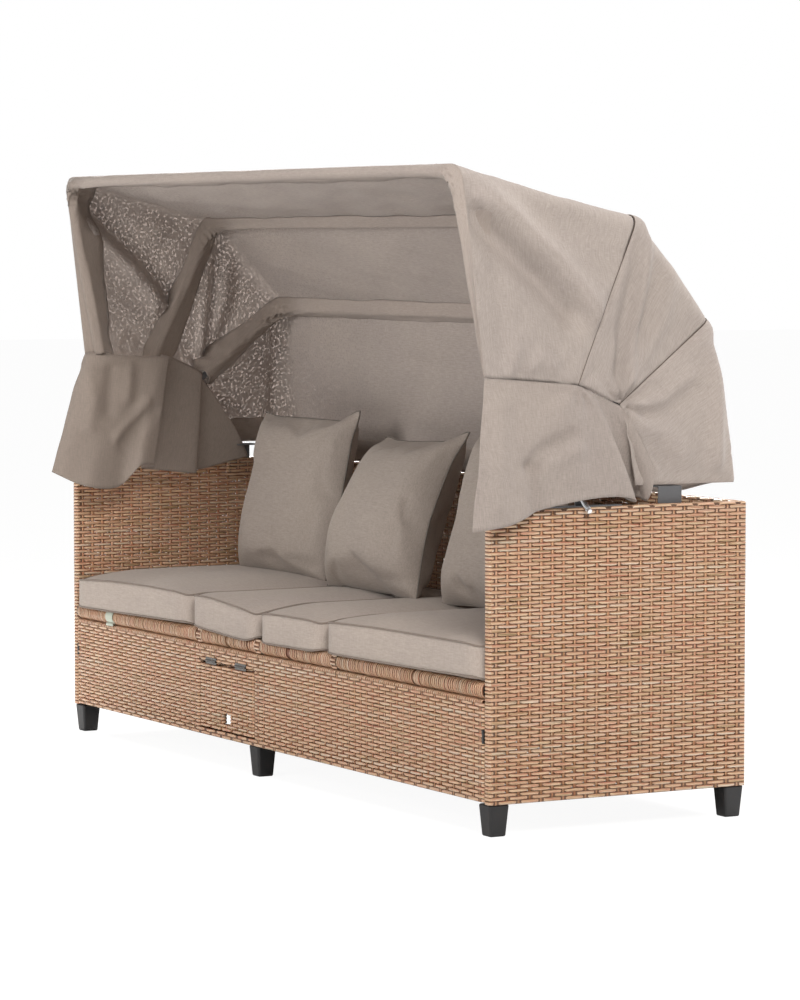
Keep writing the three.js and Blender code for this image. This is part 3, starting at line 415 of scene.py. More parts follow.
def strand_loop(low, high, thick, first, shift, radius=0.005):
    """One closed strand seen from above, as arrays of place along, place across, outward direction and
    depth: the outer side, a rounded end, the inner side backwards, and the other rounded end."""
    half = thick / 2
    outer = dive_stations(low + radius, high - radius, first, shift)
    inner = dive_stations(low + radius, high - radius, first, shift + STAKE_PITCH)[::-1]
    parts = [(outer, np.full_like(outer, -half), np.zeros_like(outer), -np.ones_like(outer),
              dive(outer, first, shift))]
    turn = np.radians([22.0, 45.0, 68.0, 90.0])

    def rounded_end(centre, way, backwards):
        """Two quarter turns of the corner radius, at -half and then at +half, or the other way round."""
        for sign in ((-1, 1) if not backwards else (1, -1)):
            angle = turn[:3] if sign * (-1 if backwards else 1) < 0 else turn[:3][::-1]
            out_u, out_v = way * np.sin(angle), sign * np.cos(angle)
            parts.append((centre + radius * out_u, sign * (half - radius) + radius * out_v,
                          out_u, out_v, np.zeros(3)))

    rounded_end(high - radius, 1, False)
    parts.append((inner, np.full_like(inner, half), np.zeros_like(inner), np.ones_like(inner),
                  dive(inner, first, shift + STAKE_PITCH)))
    rounded_end(low + radius, -1, True)
    return [np.concatenate(column) for column in zip(*parts)]


def section(closed):
    """Corners across a strand and their heights. A strand with open ends gets one more corner, in the
    middle of its underside, so that two four-cornered faces close each end."""
    across, height = [-0.5, -0.3, 0.0, 0.3, 0.5], [0.0, 0.8, 1.0, 0.8, 0.0]
    return np.array(across + ([] if closed else [0.0])), np.array(height + ([] if closed else [0.0]))


def sweep(centre, out, side, width, rise, closed):
    """Carries a flat rounded section along lines. centre, out and side have the shape lines, stations, 3.
    A corner of the section is centre + side * across * width + out * rise * height."""
    lines, stations, _ = centre.shape
    across, height = section(closed)
    corners = len(across)
    width = np.broadcast_to(np.asarray(width, float), (lines, stations))[..., None, None]
    points = (centre[:, :, None] + side[:, :, None] * across[:, None] * width
              + out[:, :, None] * (height * rise)[:, None])
    quads = grid_quads(stations, corners, wrap_rows=closed, wrap_columns=True)
    count = stations * corners
    sides = len(quads)
    if not closed:
        last = count - corners
        caps = np.array([[0, 1, 2, 5], [5, 2, 3, 4], [5, 2, 1, 0], [4, 3, 2, 5]])
        quads = np.concatenate([quads, caps[:2], caps[2:] + last])
    points = points.reshape(lines, count, 3)
    towards = np.repeat(out, corners, axis=1)
    first = outward(points[0], quads[:sides], towards[0])
    quads = quads if np.array_equal(first[0], quads[0]) else quads[:, ::-1]
    every = (quads[None] + (np.arange(lines) * count)[:, None, None]).reshape(-1, 4)
    return points.reshape(-1, 3), every


def strand_map(centre, number, lines, closed=False):
    """Map of swept strands: u is the length walked along the strand, v its number plus 0.3 of its width."""
    step = np.linalg.norm(np.diff(centre, axis=1), axis=2)
    walked = np.concatenate([np.zeros((lines, 1)), np.cumsum(step, axis=1)], axis=1)
    across = section(closed)[0] * 0.3
    v = np.asarray(number, float)[:, None, None] + across
    u = walked[:, :, None] + 0 * across + np.asarray(number)[:, None, None] * 0.37
    return np.stack([u, v + 0 * u], -1).reshape(-1, 2)


def rows_of_strands(spans, heights, numbers, thick, first, to_world, inset=0.0021):
    """Stacks closed strands. spans are the low and high ends of each row, heights their middles, and
    to_world turns (along, across, up) into x, y, z. Even and odd rows dive at neighbouring stakes."""
    points, quads, maps, start = [], [], [], 0
    groups = {}
    for (low, high), height, number in zip(spans, heights, numbers):
        groups.setdefault((round(low, 5), round(high, 5), number % 2), []).append((height, number))
    for (low, high, odd), members in groups.items():
        shift = odd * STAKE_PITCH
        along, across, out_u, out_v, depth = strand_loop(low + inset, high - inset, thick - 2 * inset,
                                                         first, shift)
        level = np.array([height for height, _ in members])
        number = np.array([n for _, n in members])
        lines = len(members)
        uneven = rng.normal(0, 0.00018, (lines, len(along))) + rng.normal(0, 0.0002, (lines, 1))
        push = depth[None] * rng.uniform(0.9, 1.1, (lines, 1))
        narrow = STRAND_WIDTH * (1 + 0.32 * np.clip(depth / DIVE_DEPTH + 0.12, -1, 0))
        flat = np.stack([along + push * out_u, across + push * out_v, level[:, None] + uneven], -1)
        out = np.broadcast_to(np.stack([out_u, out_v, 0 * out_u], -1), flat.shape)
        side = np.broadcast_to(np.array([0.0, 0.0, 1.0]), flat.shape)
        body, faces = sweep(flat, out, side, narrow[None], STRAND_RISE, closed=True)
        points.append(to_world(body))
        quads.append(faces + start)
        maps.append(strand_map(flat, number, lines, True))
        start += len(body)
    return np.concatenate(points), np.concatenate(quads), np.concatenate(maps)


def both_faces(thick):
    """The two faces for stakes: their place across, inset from the face, and the outward sign."""
    return [(-thick / 2 + STAKE_INSET, -1), (thick / 2 - STAKE_INSET, 1)]


def stakes(places, faces, low, high, number, to_world):
    """Upright stakes: flat closed bars of the stakes' width at the given places, on each face given as the
    place across and the outward sign."""
    u, (v, sign) = np.asarray(places), np.array(faces, float).T
    u, v, sign = (grid.ravel() for grid in np.broadcast_arrays(u[:, None], v[None], sign[None]))
    lines = len(u)
    centre = np.zeros((lines, 2, 3))
    centre[..., 0], centre[..., 1] = u[:, None], v[:, None]
    centre[:, 0, 2], centre[:, 1, 2] = low, high
    out = np.zeros_like(centre)
    out[..., 1] = sign[:, None]
    side = np.zeros_like(centre)
    side[..., 0] = 1.0
    body, faces_of = [], []
    for way in (-1, 1):
        pick = sign == way
        if pick.any():
            made, quads = sweep(centre[pick], out[pick], side[pick], STAKE_WIDTH, 0.0009, closed=False)
            faces_of.append(quads + sum(len(b) for b in body))
            body.append(made)
    body, quads = np.concatenate(body), np.concatenate(faces_of)
    numbers = number + np.arange(lines)
    return to_world(body), quads, strand_map(centre, numbers, lines)


def gathered(*groups):
    """Puts several (points, quads, map) groups into one."""
    start, points, quads, maps = 0, [], [], []
    for body, faces, place in groups:
        points.append(body)
        quads.append(faces + start)
        maps.append(place)
        start += len(body)
    return np.concatenate(points), np.concatenate(quads), np.concatenate(maps)


print("strand helpers ready")

# %% [markdown]
# ## Both arms
# The arm is a slab 25 mm thick and 680 mm deep. Its strands run round the front and rear edges without an
# end, and the last two rows lean over the top edge and close it.

# %% Arms
ARM_TOP, PANEL_LOW, SEAT_DEPTH = 0.722, 0.0715, 0.680
ARM_ROWS = 76


def top_rows(low, high, thick, first, number, to_world, top=ARM_TOP):
    """The two rows that close a panel's top: one leans 45 degrees, the other lies flat."""
    made = []
    for step, (lean, inward, height) in enumerate([(math.pi / 4, 0.0021, top - 0.0027),
                                                   (math.pi / 2, 0.0084, top - 0.0016)]):
        along, across, out_u, out_v, depth = strand_loop(
            low + 0.0013 + inward, high - 0.0013 - inward, thick - 0.0026 - 2 * inward, first,
            ((number + step) % 2) * STAKE_PITCH, radius=0.003)
        away = np.stack([out_u, out_v, 0 * out_u], -1)[None]
        up = np.array([0.0, 0.0, 1.0])
        out = away * math.cos(lean) + up * math.sin(lean)
        side = up * math.cos(lean) - away * math.sin(lean)
        flat = np.stack([along, across, np.full_like(along, height)], -1)[None] + out * depth[None, :, None]
        body, faces = sweep(flat, out, np.broadcast_to(side, flat.shape), STRAND_WIDTH, STRAND_RISE, True)
        made.append((to_world(body), faces, strand_map(flat, np.array([number + step]), 1, True)))
    return gathered(*made)


def arm(sign):
    """Strands along Y: local (along, across, up) becomes x = sign * (1.0875 + across), y = along."""
    def to_world(local):
        return np.stack([sign * (1.0875 - local[:, 1]), local[:, 0], local[:, 2]], -1)

    levels = PANEL_LOW + ROW_PITCH * (np.arange(ARM_ROWS) + 0.5)
    numbers = np.arange(ARM_ROWS) + (0 if sign > 0 else 400)
    first = 0.019
    rows = rows_of_strands([(0.0, SEAT_DEPTH)] * ARM_ROWS, levels, numbers, PANEL, first, to_world)
    upright = np.arange(first, SEAT_DEPTH - 0.006, STAKE_PITCH)
    bars = stakes(upright, both_faces(PANEL), PANEL_LOW, ARM_TOP - 0.006, 900 + numbers[0], to_world)
    return gathered(rows, top_rows(0.0, SEAT_DEPTH, PANEL, first, int(numbers[-1]) + 1, to_world)), bars


def over_the_rest(sign):
    """A raised patch of the same weave on the inner face, over the plate that holds the rear bow's rest."""
    def to_world(local):
        return np.stack([sign * (1.0755 - local[:, 1]), local[:, 0], local[:, 2]], -1)

    rows = np.arange(71, ARM_ROWS)
    levels = np.append(PANEL_LOW + ROW_PITCH * (rows + 0.5), 0.7190)
    numbers = np.append(rows, ARM_ROWS) + (0 if sign > 0 else 400)
    strands = rows_of_strands([(0.448, 0.526)] * len(levels), levels, numbers, 0.016, 0.019, to_world)
    return gathered(strands, stakes([0.454, 0.483, 0.512], [(0.0048, 1)], 0.683, 0.720, 1100, to_world))


for side, sign in (("right", 1), ("left", -1)):
    points, quads, place = over_the_rest(sign)
    make_piece(f"rest_patch_{side}", points, quads[:, ::sign], strand_tan, across=place)
    (points, quads, place), (bar_points, bar_quads, bar_place) = arm(sign)
    quads, bar_quads = (faces[:, ::-1] if sign < 0 else faces for faces in (quads, bar_quads))
    woven = make_piece(f"arm_strands_{side}", points, quads, strand_tan, across=place)
    make_piece(f"arm_stakes_{side}", bar_points, bar_quads, strand_stake, across=bar_place)
    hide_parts(f"arm_weave_{side}")
    print(woven.name, 2 * len(quads), "triangles")

# %% [markdown]
# ## The back
# The back is the same slab between the arms, 2.15 m long. Its strands are split into three pieces, one
# above the other, so that none gets too heavy.

# %% Back
BACK_HALF = 1.0747
BACK_Y = SEAT_DEPTH - PANEL / 2


def along_back(local):
    """Local (along, across, up) becomes x = along, y = middle of the back + across."""
    return np.stack([local[:, 0], BACK_Y + local[:, 1], local[:, 2]], -1)


def back(first_row, last_row, top):
    levels = PANEL_LOW + ROW_PITCH * (np.arange(first_row, last_row) + 0.5)
    numbers = np.arange(first_row, last_row) + 1200
    spans = [(-BACK_HALF, BACK_HALF)] * len(levels)
    group = [rows_of_strands(spans, levels, numbers, PANEL, 0.004, along_back)]
    if top:
        group.append(top_rows(-BACK_HALF, BACK_HALF, PANEL, 0.004, 1200 + last_row, along_back))
    return gathered(*group)


for name, first_row, last_row in (("back_strands_low", 0, 26), ("back_strands_middle", 26, 52),
                                  ("back_strands_high", 52, ARM_ROWS)):
    points, quads, place = back(first_row, last_row, last_row == ARM_ROWS)
    woven = make_piece(name, points, quads, strand_tan, across=place)
    print(woven.name, 2 * len(quads), "triangles")
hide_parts("back_weave")
upright = 0.004 + STAKE_PITCH * np.arange(-36, 37)
points, quads, place = stakes(upright, both_faces(PANEL), PANEL_LOW, ARM_TOP - 0.006, 2000, along_back)
make_piece("back_stakes", points, quads, strand_stake, across=place)

# %% [markdown]
# ## Apron and hatch door
# The apron hangs under the seat rail. Where the hatch is, each row is split in two, and the strands turn
# round the edges of the opening. The door is woven in the same rows, with a finger hole in the lower half.

# %% Apron and door
APRON_LOW, APRON_TOP = 0.0752, 0.3035
HATCH = (-0.338, -0.036)
DOOR = (-0.3355, -0.0385)
HOLE = (-0.208, -0.170)
APRON_FIRST = 0.012
apron_rows = np.arange(27)
apron_levels = APRON_LOW + ROW_PITCH * (apron_rows[:26] + 0.5)


DOOR_THICK = 0.016
HATCH_ROWS = (2, 21)


def along_front(local):
    """Local (along, across, up) becomes x = along, y = half the panel + across."""
    return np.stack([local[:, 0], PANEL / 2 + local[:, 1], local[:, 2]], -1)


def door_front(local):
    return np.stack([local[:, 0], DOOR_THICK / 2 + local[:, 1], local[:, 2]], -1)


spans, levels, numbers = [], [], []
for row, level in zip(apron_rows, apron_levels):
    beside_hatch = HATCH_ROWS[0] <= row <= HATCH_ROWS[1]
    ends = [(-BACK_HALF, HATCH[0]), (HATCH[1], BACK_HALF)] if beside_hatch else [(-BACK_HALF, BACK_HALF)]
    spans += ends
    levels += [level] * len(ends)
    numbers += [3000 + row + 100 * k for k in range(len(ends))]
apron = rows_of_strands(spans, levels, numbers, PANEL, APRON_FIRST, along_front)
upright = APRON_FIRST + STAKE_PITCH * np.arange(-37, 37)
beside = upright[(upright < HATCH[0] - 0.005) | (upright > HATCH[1] + 0.005)]
over = upright[(upright > HATCH[0]) & (upright < HATCH[1])]
faces = both_faces(PANEL)
apron_bars = stakes(beside, faces, APRON_LOW, APRON_TOP - 0.008, 3500, along_front)
over_bars = stakes(over, faces, 0.266, APRON_TOP - 0.008, 3600, along_front)
points, quads, place = apron
apron_piece = make_piece("apron_strands", points, quads, strand_tan, across=place)
points, quads, place = gathered(apron_bars, over_bars)
make_piece("apron_stakes", points, quads, strand_stake, across=place)
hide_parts("apron_weave")

door_levels = np.linspace(0.0945 + 0.0042, 0.2545 - 0.0042, 19)
spans, levels, numbers = [], [], []
for row, level in enumerate(door_levels):
    holed = 0.111 < level < 0.1405
    ends = [(DOOR[0], HOLE[0]), (HOLE[1], DOOR[1])] if holed else [DOOR]
    spans += ends
    levels += [level] * len(ends)
    numbers += [4002 + row + 100 * k for k in range(len(ends))]
door = rows_of_strands(spans, levels, numbers, DOOR_THICK, APRON_FIRST, door_front)
upright = upright[(upright > DOOR[0] + 0.006) & (upright < DOOR[1] - 0.006)]
clear = upright[(upright < HOLE[0] - 0.004) | (upright > HOLE[1] + 0.004)]
crossing = upright[(upright >= HOLE[0] - 0.004) & (upright <= HOLE[1] + 0.004)]
faces = both_faces(DOOR_THICK)
door_bars = stakes(clear, faces, 0.0950, 0.2540, 4500, door_front)
above_hole = stakes(crossing, faces, 0.1405, 0.2540, 4600, door_front)
below_hole = stakes(crossing, faces, 0.0950, 0.1105, 4700, door_front)
points, quads, place = door
door_piece = make_piece("door_strands", points, quads, strand_tan, "hatch", across=place)
points, quads, place = gathered(door_bars, above_hole, below_hole)
make_piece("door_stakes", points, quads, strand_stake, "hatch", across=place)
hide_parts("hatch_door")
print(apron_piece.name, door_piece.name, 2 * len(quads))

# %% [markdown]
# ## Wraps on the seat rail and on the apron's top edge
# The rail is wound with strands side by side, over its rounded nose. The apron's top edge is bound in the
# same way. Each wrap is a short open strand carried along the rail's section.

# %% Wraps
def wraps(places, profile, out, width, lean, rise=0.0013, number=5000):
    """Short strands across the rail: each follows the profile of (y, z) places with its outward
    directions, at its own x, leaning a little to one side."""
    lines, stations = len(places), len(profile)
    share = np.linspace(-0.5, 0.5, stations)
    centre = np.zeros((lines, stations, 3))
    centre[..., 0] = np.asarray(places)[:, None] + lean * share + rng.normal(0, 0.00025, (lines, 1))
    centre[..., 1:] = profile[None]
    looks = np.zeros_like(centre)
    looks[..., 1:] = out[None]
    centre += looks * rng.normal(0, 0.0003, (lines, 1, 1))
    side = np.zeros_like(centre)
    side[..., 0] = 1.0
    spread = np.asarray(width)[:, None] * np.ones(stations)
    body, faces = sweep(centre, looks, side, spread, rise, closed=False)
    return body, faces, strand_map(centre, number + np.arange(lines), lines)


def nose_profile(front, back, low, high, radius, steps=5):
    """From the back of the top over the rounded nose to the back of the underside: two quarter turns."""
    angle = np.radians(np.linspace(90, 0, steps))
    upper = np.stack([front + radius - radius * np.cos(angle), high - radius + radius * np.sin(angle)], -1)
    upper_out = np.stack([-np.cos(angle), np.sin(angle)], -1)
    lower = np.stack([upper[::-1, 0], low + high - upper[::-1, 1]], -1)
    lower_out = upper_out[::-1] * [1, -1]
    top = np.array([[back, high], [(front + radius + back) / 2, high]])
    under = top[::-1] * [1, 0] + [0, low]
    profile = np.concatenate([top, upper, lower, under])
    out = np.concatenate([[[0, 1]] * 2, upper_out, lower_out, [[0, -1]] * 2])
    return profile, out


RAIL_JOINTS, PLAIN_JOINT = (-0.334, -0.013, 0.380), -0.174
NOSE_RADIUS = 0.0157
wrap_width = 0.0088
places = np.arange(-BACK_HALF + 0.006, BACK_HALF - 0.004, wrap_width)
for joint in RAIL_JOINTS + (PLAIN_JOINT,):
    places = places[np.abs(places - joint) > (0.0125 if joint != PLAIN_JOINT else 0.006)]
places = places[rng.random(len(places)) > 0.035]
profile, out = nose_profile(-0.0021, 0.031, 0.3058, 0.3404, NOSE_RADIUS)
widths = rng.uniform(0.0074, 0.0082, len(places))
rail = wraps(places, profile, out, widths, 0.004, 0.0019)
crossings = []
for joint in RAIL_JOINTS:
    for step, level in enumerate(np.linspace(0.309, 0.337, 4)):
        centre = np.array([[[joint - 0.012, 0, 0], [joint - 0.004, 0, 0], [joint + 0.004, 0, 0],
                            [joint + 0.012, 0, 0]]])
        centre[..., 2] = level
        drop = np.clip(np.abs(level - 0.3232) - 0.0022, 0, None)
        hollow = math.sqrt(max(NOSE_RADIUS ** 2 - drop ** 2, 1e-8))
        centre[..., 1] = -0.0027 + NOSE_RADIUS - hollow - 0.0004
        looks = np.broadcast_to(np.array([0.0, -1.0, 0.0]), centre.shape)
        side = np.broadcast_to(np.array([0.0, 0.0, 1.0]), centre.shape)
        body, faces = sweep(centre, looks, side, 0.0066, 0.0015, closed=False)
        crossings.append((body, faces, strand_map(centre, np.array([5600 + step]), 1)))
points, quads, place = gathered(rail, *crossings)
rail_piece = make_piece("rail_wraps", points, quads, strand_tan, across=place)

core_profile, core_out = nose_profile(-0.0012, 0.033, 0.3068, 0.3395, NOSE_RADIUS)
ends = np.array([-BACK_HALF, BACK_HALF])
core = np.zeros((len(core_profile), 2, 3))
core[..., 0] = ends
core[..., 1:] = core_profile[:, None]
inner = core.copy()
inner[..., 1:] -= 0.0012 * core_out[:, None]
both = np.concatenate([core, inner[::-1]]).reshape(-1, 3)
shell = grid_quads(2 * len(core_profile), 2, wrap_rows=True)
towards = np.concatenate([core_out, -core_out[::-1]])
towards = np.repeat(np.concatenate([np.zeros((len(towards), 1)), towards], 1), 2, axis=0)
# the core takes the darkened strand colour: painted shade in the slots between the wraps
make_piece("rail_core", both, outward(both, shell, towards), strand_painted_shade, across=both[:, :2])
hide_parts("seat_rail")

binding = np.arange(-BACK_HALF + 0.006, BACK_HALF - 0.004, 0.0092)
profile = np.array([[-0.0004, 0.2945], [-0.0008, 0.2985], [0.0002, 0.3014], [0.0040, 0.3032],
                    [0.0120, 0.3034], [0.0200, 0.3032]])
out = np.array([[-1, 0], [-1, 0.1], [-0.7, 0.7], [-0.2, 1], [0, 1], [0, 1]], float)
out /= np.linalg.norm(out, axis=1, keepdims=True)
points, quads, place = wraps(binding, profile - out * 0.0011, out, np.full(len(binding), 0.0086), 0.003,
                             number=5800)
make_piece("apron_binding", points, quads, strand_tan, across=place)
print("wraps:", len(places), "and", len(binding))

# %% [markdown]
# ## Finish: heathered cloth
# The cushions, pillows and canopy are sewn from woven polyester with light and dark yarns side by side.
# From a metre away that reads as a soft grain with short, thin slubs in both directions. The canopy is one
# layer thick, so some daylight comes through it, unevenly, and its sleeves and hems are double and dull.

# %% Cloth finishes
def cloth_finish(name, colour, source="Object", grain=1.0, glow=0.0, speckle=0.0, scale=1.0, left=None):
    """Colour times slubs and grain; bump from the threads; and a share of light let through, in specks on
    the left, where the weave is opened by the sun. left is a darker colour painted as shade on the part
    beyond x = -0.99, the cloth that lies inside the canopy's left side."""
    finish = Finish(name)
    place = finish.place(source)
    lying = finish.noise(finish.scaled(place, (60 * scale, 900 * scale, 300 * scale)), 1.0, 2.0, 0.6)
    standing = finish.noise(finish.scaled(place, (800 * scale, 60 * scale, 60 * scale)), 1.0, 2.0, 0.6)
    fine = finish.noise(place, 900.0 * scale, 1.0)
    broad = finish.noise(place, 3.0, 2.0)
    slub = finish.noise(finish.scaled(place, (34 * scale, 310 * scale, 310 * scale)), 1.0, 1.0)
    yarn = (lying + standing) * 0.32 + fine * 0.12 + slub * 0.24
    out = finish.node("ShaderNodeSeparateXYZ", {}, {"Vector": finish.place("Object")}, "X") * -1.0
    tone = finish.ramp(yarn, [(0.36, tuple([1 - 0.22 * grain] * 3) + (1,)),
                              (0.64, tuple([1 + 0.13 * grain] * 3) + (1,))])
    plain = linear(*colour)
    if left:
        # painted shade: the cloth beyond x = -0.99 blends to the darker left colour
        beyond = finish.ramp(out, [(0.90, (0, 0, 0, 1)), (0.99, (1, 1, 1, 1))])
        plain = finish.mix(beyond, plain, linear(*left))
    base = finish.mix(1.0, plain, tone, "MULTIPLY")
    patch = finish.ramp(broad, [(0.3, (0.95, 0.95, 0.96, 1)), (0.7, (1.03, 1.03, 1.02, 1))])
    base = finish.mix(1.0, base, patch, "MULTIPLY")
    bump = finish.bump(yarn, 0.0012, 0.45)
    shader = finish.skin({"Base Color": base, "Roughness": 0.93, "Sheen Weight": 0.12, "Normal": bump,
                          "Specular IOR Level": 0.2})
    if glow:
        through = finish.node("ShaderNodeBsdfTranslucent", {}, {"Color": base, "Normal": bump})
        specks = finish.ramp(finish.noise(place, 150.0 * scale, 1.0),
                             [(0.52, (0, 0, 0, 1)), (0.60, (1, 1, 1, 1))])
        opened = finish.ramp(out, [(0.45, (0, 0, 0, 1)), (0.85, (1, 1, 1, 1))])
        share = specks * opened * speckle
        shader = finish.node("ShaderNodeMixShader", {}, {0: share + glow, 1: shader, 2: through})
        if speckle:
            gap = finish.node("ShaderNodeBsdfTransparent")
            shader = finish.node("ShaderNodeMixShader", {}, {0: share * 0.45, 1: shader, 2: gap})
    return finish.done(shader)


seat_cloth = cloth_finish("seat_cloth", (164, 152, 143), grain=0.8)
pillow_cloth = cloth_finish("pillow_cloth", (157, 146, 137), grain=0.9)
# the piping is painted darker than the seat cloth: painted shade of the seam's crease
piping_cloth_painted_shade = cloth_finish("piping_cloth_painted_shade", (122, 110, 101), grain=0.4)
# the pillows' edge seams are painted darker than their cloth: painted shade along the seam
pillow_seam_painted_shade = cloth_finish("pillow_seam_painted_shade", (112, 105, 98), grain=0.4)
canopy_cloth = cloth_finish("canopy_cloth", (166, 155, 148), "UV", 1.1, 0.06, 0.36)
skirt_cloth = cloth_finish("skirt_cloth", (156, 145, 138), "UV", 1.1, 0.04, 0.0)
# left paints shade on the sleeves and skirt on the canopy's shaded left side
double_cloth = cloth_finish("double_cloth", (160, 148, 140), "UV", 0.9, 0.03, 0.0, left=(142, 130, 121))
print("cloth finishes")

# %% [markdown]
# ## Seat cushions
# Four boxed foam cushions with piping along their top and bottom edges. Their fronts hang a little over
# the rail, and the covers pull at the corners. Each cover starts as a closed box of small faces, slightly
# small, and a short cloth simulation blows it up. The edges are held, because foam and piping hold them.

# %% A soft box and its simulation
def soft_box(size, counts):
    """A closed box of small faces: its points, its faces, and each point's shares from -1 to 1."""
    width, depth, height = size
    nx, ny, nz = counts
    line = lambda n: np.linspace(-1, 1, n + 1)
    points, quads, start = [], [], 0
    for axis, (n1, n2) in ((0, (ny, nz)), (1, (nx, nz)), (2, (nx, ny))):
        first, second = np.meshgrid(line(n1), line(n2), indexing="ij")
        for end in (-1.0, 1.0):
            side = np.insert(np.stack([first.ravel(), second.ravel()], -1), axis, end, axis=1)
            faces = grid_quads(n1 + 1, n2 + 1)
            normal = np.zeros((len(side), 3))
            normal[:, axis] = end
            points.append(side)
            quads.append(outward(side, faces, normal) + start)
            start += len(side)
    points, quads = np.concatenate(points), np.concatenate(quads)
    _, first, where = np.unique(np.round(points * 1e6).astype(np.int64), axis=0,
                                return_index=True, return_inverse=True)
    shares = points[first]
    return shares * np.array([width, depth, height]) / 2, where.ravel()[quads], shares


def blow_up(points, quads, held, pressure, cap, frames=20, bending=0.5, shrink=0.0):
    """Runs a short cloth simulation on a closed cover and gives back its points. held has one weight per
    point; no point moves further than the cap: a move becomes cap * tanh(move / cap)."""
    mesh = bpy.data.meshes.new("cover")
    mesh.from_pydata(points.tolist(), [], quads.tolist())
    cover = bpy.data.objects.new("cover", mesh)
    bpy.context.scene.collection.objects.link(cover)
    group = cover.vertex_groups.new(name="held")
    for weight in np.unique(np.round(held, 2)):
        picked = np.nonzero(np.round(held, 2) == weight)[0].tolist()
        group.add(picked, float(weight), "REPLACE")
    cloth = cover.modifiers.new("cloth", "CLOTH")
    settings = cloth.settings
    settings.quality = 4
    settings.mass = 0.35
    settings.tension_stiffness = settings.compression_stiffness = 18
    settings.shear_stiffness = 8
    settings.bending_stiffness = bending
    settings.use_pressure = True
    settings.uniform_pressure_force = pressure
    settings.shrink_min = shrink
    settings.vertex_group_mass = "held"
    settings.effector_weights.gravity = 0
    cloth.point_cache.frame_start, cloth.point_cache.frame_end = 1, frames
    for number in range(1, frames + 1):
        bpy.context.scene.frame_set(number)
    shown = cover.evaluated_get(bpy.context.evaluated_depsgraph_get())
    moved = np.zeros(len(points) * 3, np.float32)
    shown.data.vertices.foreach_get("co", moved)
    bpy.data.objects.remove(cover)
    bpy.context.scene.frame_set(1)
    move = moved.reshape(-1, 3) - points
    far = np.linalg.norm(move, axis=1, keepdims=True)
    return points + move * np.where(far > 1e-9, cap * np.tanh(far / cap) / np.maximum(far, 1e-9), 0)


def circles(points, side, up, radius, corners):
    """Circles of the radius round the places of a line, each in the plane of its two directions."""
    angle = np.linspace(0, 2 * np.pi, corners, endpoint=False)
    across = np.cos(angle)[:, None] * side[:, None] + np.sin(angle)[:, None] * up[:, None]
    return points[:, None] + radius * across


def tube_round(points, radius, corners=8):
    """A closed tube round a closed line of points: circles of the radius across the line's direction."""
    ahead = np.roll(points, -1, axis=0) - np.roll(points, 1, axis=0)
    ahead /= np.linalg.norm(ahead, axis=1, keepdims=True)
    up = np.array([0.0, 0.0, 1.0]) - ahead * ahead[:, 2:]
    up /= np.linalg.norm(up, axis=1, keepdims=True)
    side = np.cross(ahead, up)
    ring = circles(points, side, up, radius, corners)
    quads = grid_quads(len(points), corners, True, True)
    away = (ring - points[:, None]).reshape(-1, 3)
    return ring.reshape(-1, 3), outward(ring.reshape(-1, 3), quads, away)


def round_the_edge(shares, picked, size):
    """Orders the picked points of a rim by how far round the box they are."""
    x, y = shares[picked, 0] * size[0], shares[picked, 1] * size[1]
    along = np.where(np.isclose(shares[picked, 1], -1), x,
                     np.where(np.isclose(shares[picked, 0], 1), size[0] + size[1] + y,
                              np.where(np.isclose(shares[picked, 1], 1), 2 * size[0] + size[1] * 2 - x,
                                       4 * size[0] + 3 * size[1] - y)))
    return picked[np.argsort(along)]


def smooth(value):
    """Goes from 0 to 1 as 3 t squared minus 2 t cubed."""
    t = np.clip(value, 0, 1)
    return t * t * (3 - 2 * t)


# %% Four seat cushions
SEAT = 0.3427
CUSHION_HIGH = 0.080
AT_RIM = 0.9999
CUSHION_JOINTS = (-1.0747, -0.378, -0.006, 0.336, 1.0747)
FRONT_TOP = [[0.409, 0.420, 0.425, 0.424], [0.425, 0.424, 0.415, 0.406], [0.407, 0.411, 0.412, 0.413],
             [0.416, 0.422, 0.424, 0.426]]
FRONT_LOW = [[0.338, 0.341, 0.347, 0.352], [0.350, 0.342, 0.335, 0.334], [0.336, 0.337, 0.339, 0.341],
             [0.343, 0.345, 0.349, 0.354]]


